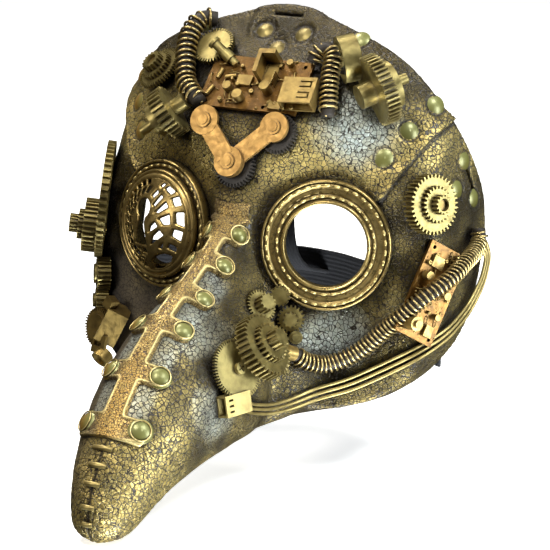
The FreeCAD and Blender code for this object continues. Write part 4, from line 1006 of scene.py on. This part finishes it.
def board_details(name, count):
    """Jumper wires, turned capacitors and solder beads scattered over a board's face."""
    middle, long, short, out, reach = bench(name)
    data = NODES[name].data
    tree = BVHTree.FromPolygons([v.co for v in data.vertices], [tuple(f.vertices) for f in data.polygons])
    parts = []
    for k in range(count):
        a, b = random.uniform(-0.86, 0.86) * reach[0], random.uniform(-0.84, 0.84) * reach[1]
        spot = tree.ray_cast(middle + long * a + short * b + out * 20 * MM, -out)[0]
        if spot is None:
            continue
        if k % 3 == 0:
            way = long if random.random() < 0.6 else short
            span = random.uniform(1.6, 3.0) * MM
            arch = [spot + way * (span * math.cos(t)) + out * (1.3 * MM * math.sin(t) - 0.1 * MM)
                    for t in (math.pi * j / 12 for j in range(13))]
            parts.append(tube(arch, 0.26 * MM, 7))
        elif k % 3 == 1:
            wide, high = random.uniform(0.7, 1.25), random.uniform(1.2, 2.4)
            outline = [(0.01, -0.2), (wide, -0.2), (wide, high * 0.2), (wide * 0.9, high * 0.28),
                       (wide, high * 0.36), (wide, high * 0.9), (wide * 0.85, high), (0.01, high * 0.93)]
            parts.append(lathe(outline, spot / MM, out, 20))
        else:
            wide = random.uniform(0.45, 0.8)
            outline = [(0.01, -0.1), (wide, -0.1), (wide * 0.8, 0.3), (wide * 0.35, 0.55), (0.01, 0.6)]
            parts.append(lathe(outline, spot / MM, out, 14))
    made = mesh_of(name + "_details", *gather(parts))
    piece(name + "_details", made, PARTS)


# ------------------------------------------------------------------ elastics
def elastic(name, axis, middle, rib):
    """A woven strap: the CAD strip with ribs along it."""
    data = remeshed(name, 0.42, 1)
    points, out = points_of(data), normals_of(data)
    lane = points[:, axis] / MM - middle
    flat = 1 - np.abs(out[:, axis])
    points += out * (np.cos(2 * math.pi * lane / rib) * 0.08 * flat)[:, None] * MM
    put_points(data, points)
    made = piece(name + "_woven", data, WOVEN)
    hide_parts(name)


bpy.context.scene.view_settings.view_transform = "Standard"
camera()
studio()

PALE = gilt("pale_brass_look", (0.31, 0.25, 0.09), (0.165, 0.128, 0.045), metal=0.85, reach=2.4)
AGED = gilt("aged_brass_look", (0.30, 0.205, 0.06), (0.17, 0.115, 0.036), metal=0.85, reach=2.8)
SATIN = gilt("satin_gold_look", (0.36, 0.215, 0.065), (0.24, 0.135, 0.038), metal=0.8, reach=3.0,
             grain=0.02)
PARTS = gilt("gilt_parts_look", (0.33, 0.23, 0.07), (0.17, 0.11, 0.034), metal=0.8, reach=1.8)
WIRE = gilt("gilt_wire_look", (0.33, 0.255, 0.09), (0.20, 0.15, 0.052))
WOVEN = woven_elastic()
# nearly black chain gears: a dark wash, and painted shade where they lie under the chain links
WASH_AND_SHADE = dark_matt("dark_wash_and_shade_look", (0.012, 0.010, 0.008), 0.42)

dress(["stepped_bolt", "shaft_gear_right", "shaft_gear_left", "smooth_drum", "cheek_stack_gear",
       "stepped_gear_right", "temple_gear_right", "temple_gear_left", "cheek_spur_gear", "spur_screw",
       "small_cheek_gears", "temple_wheel_right", "temple_small_gears_right", "forehead_disc_gear"], PALE)
dress(["cheek_bracket_right", "stepped_gear_post", "temple_post_right", "temple_post_left"], AGED)
dress(["chain_link_right", "chain_link_left", "chain_pins"], SATIN)
dress(["board_components", "side_board_components", "cheek_pipe", "flat_socket", "upright_socket"], PARTS)
dress(["cheek_wire_upper", "cheek_wire_middle", "cheek_wire_lower", "tip_stitches", "cheek_connector"], WIRE)
# the chain gears: dark wash with painted shade under the links
dress(["chain_gears"], WASH_AND_SHADE)
dress(["circuit_board", "side_circuit_board"], board_paint())
dress(["bridge_rivets", "brow_rivets", "temple_rivets"], satin_olive())
dress(["crown_rivets"], gilt("crown_rivet_look", (0.19, 0.15, 0.05), (0.12, 0.09, 0.03), grain=0.01))

band(shell())
collars()
eye_rings()
dome()
springs()
board_details("circuit_board", 54)
board_details("side_circuit_board", 36)
elastic("elastic_band", 2, -39.0, 1.9)
elastic("top_strap", 0, 0.0, 1.86)
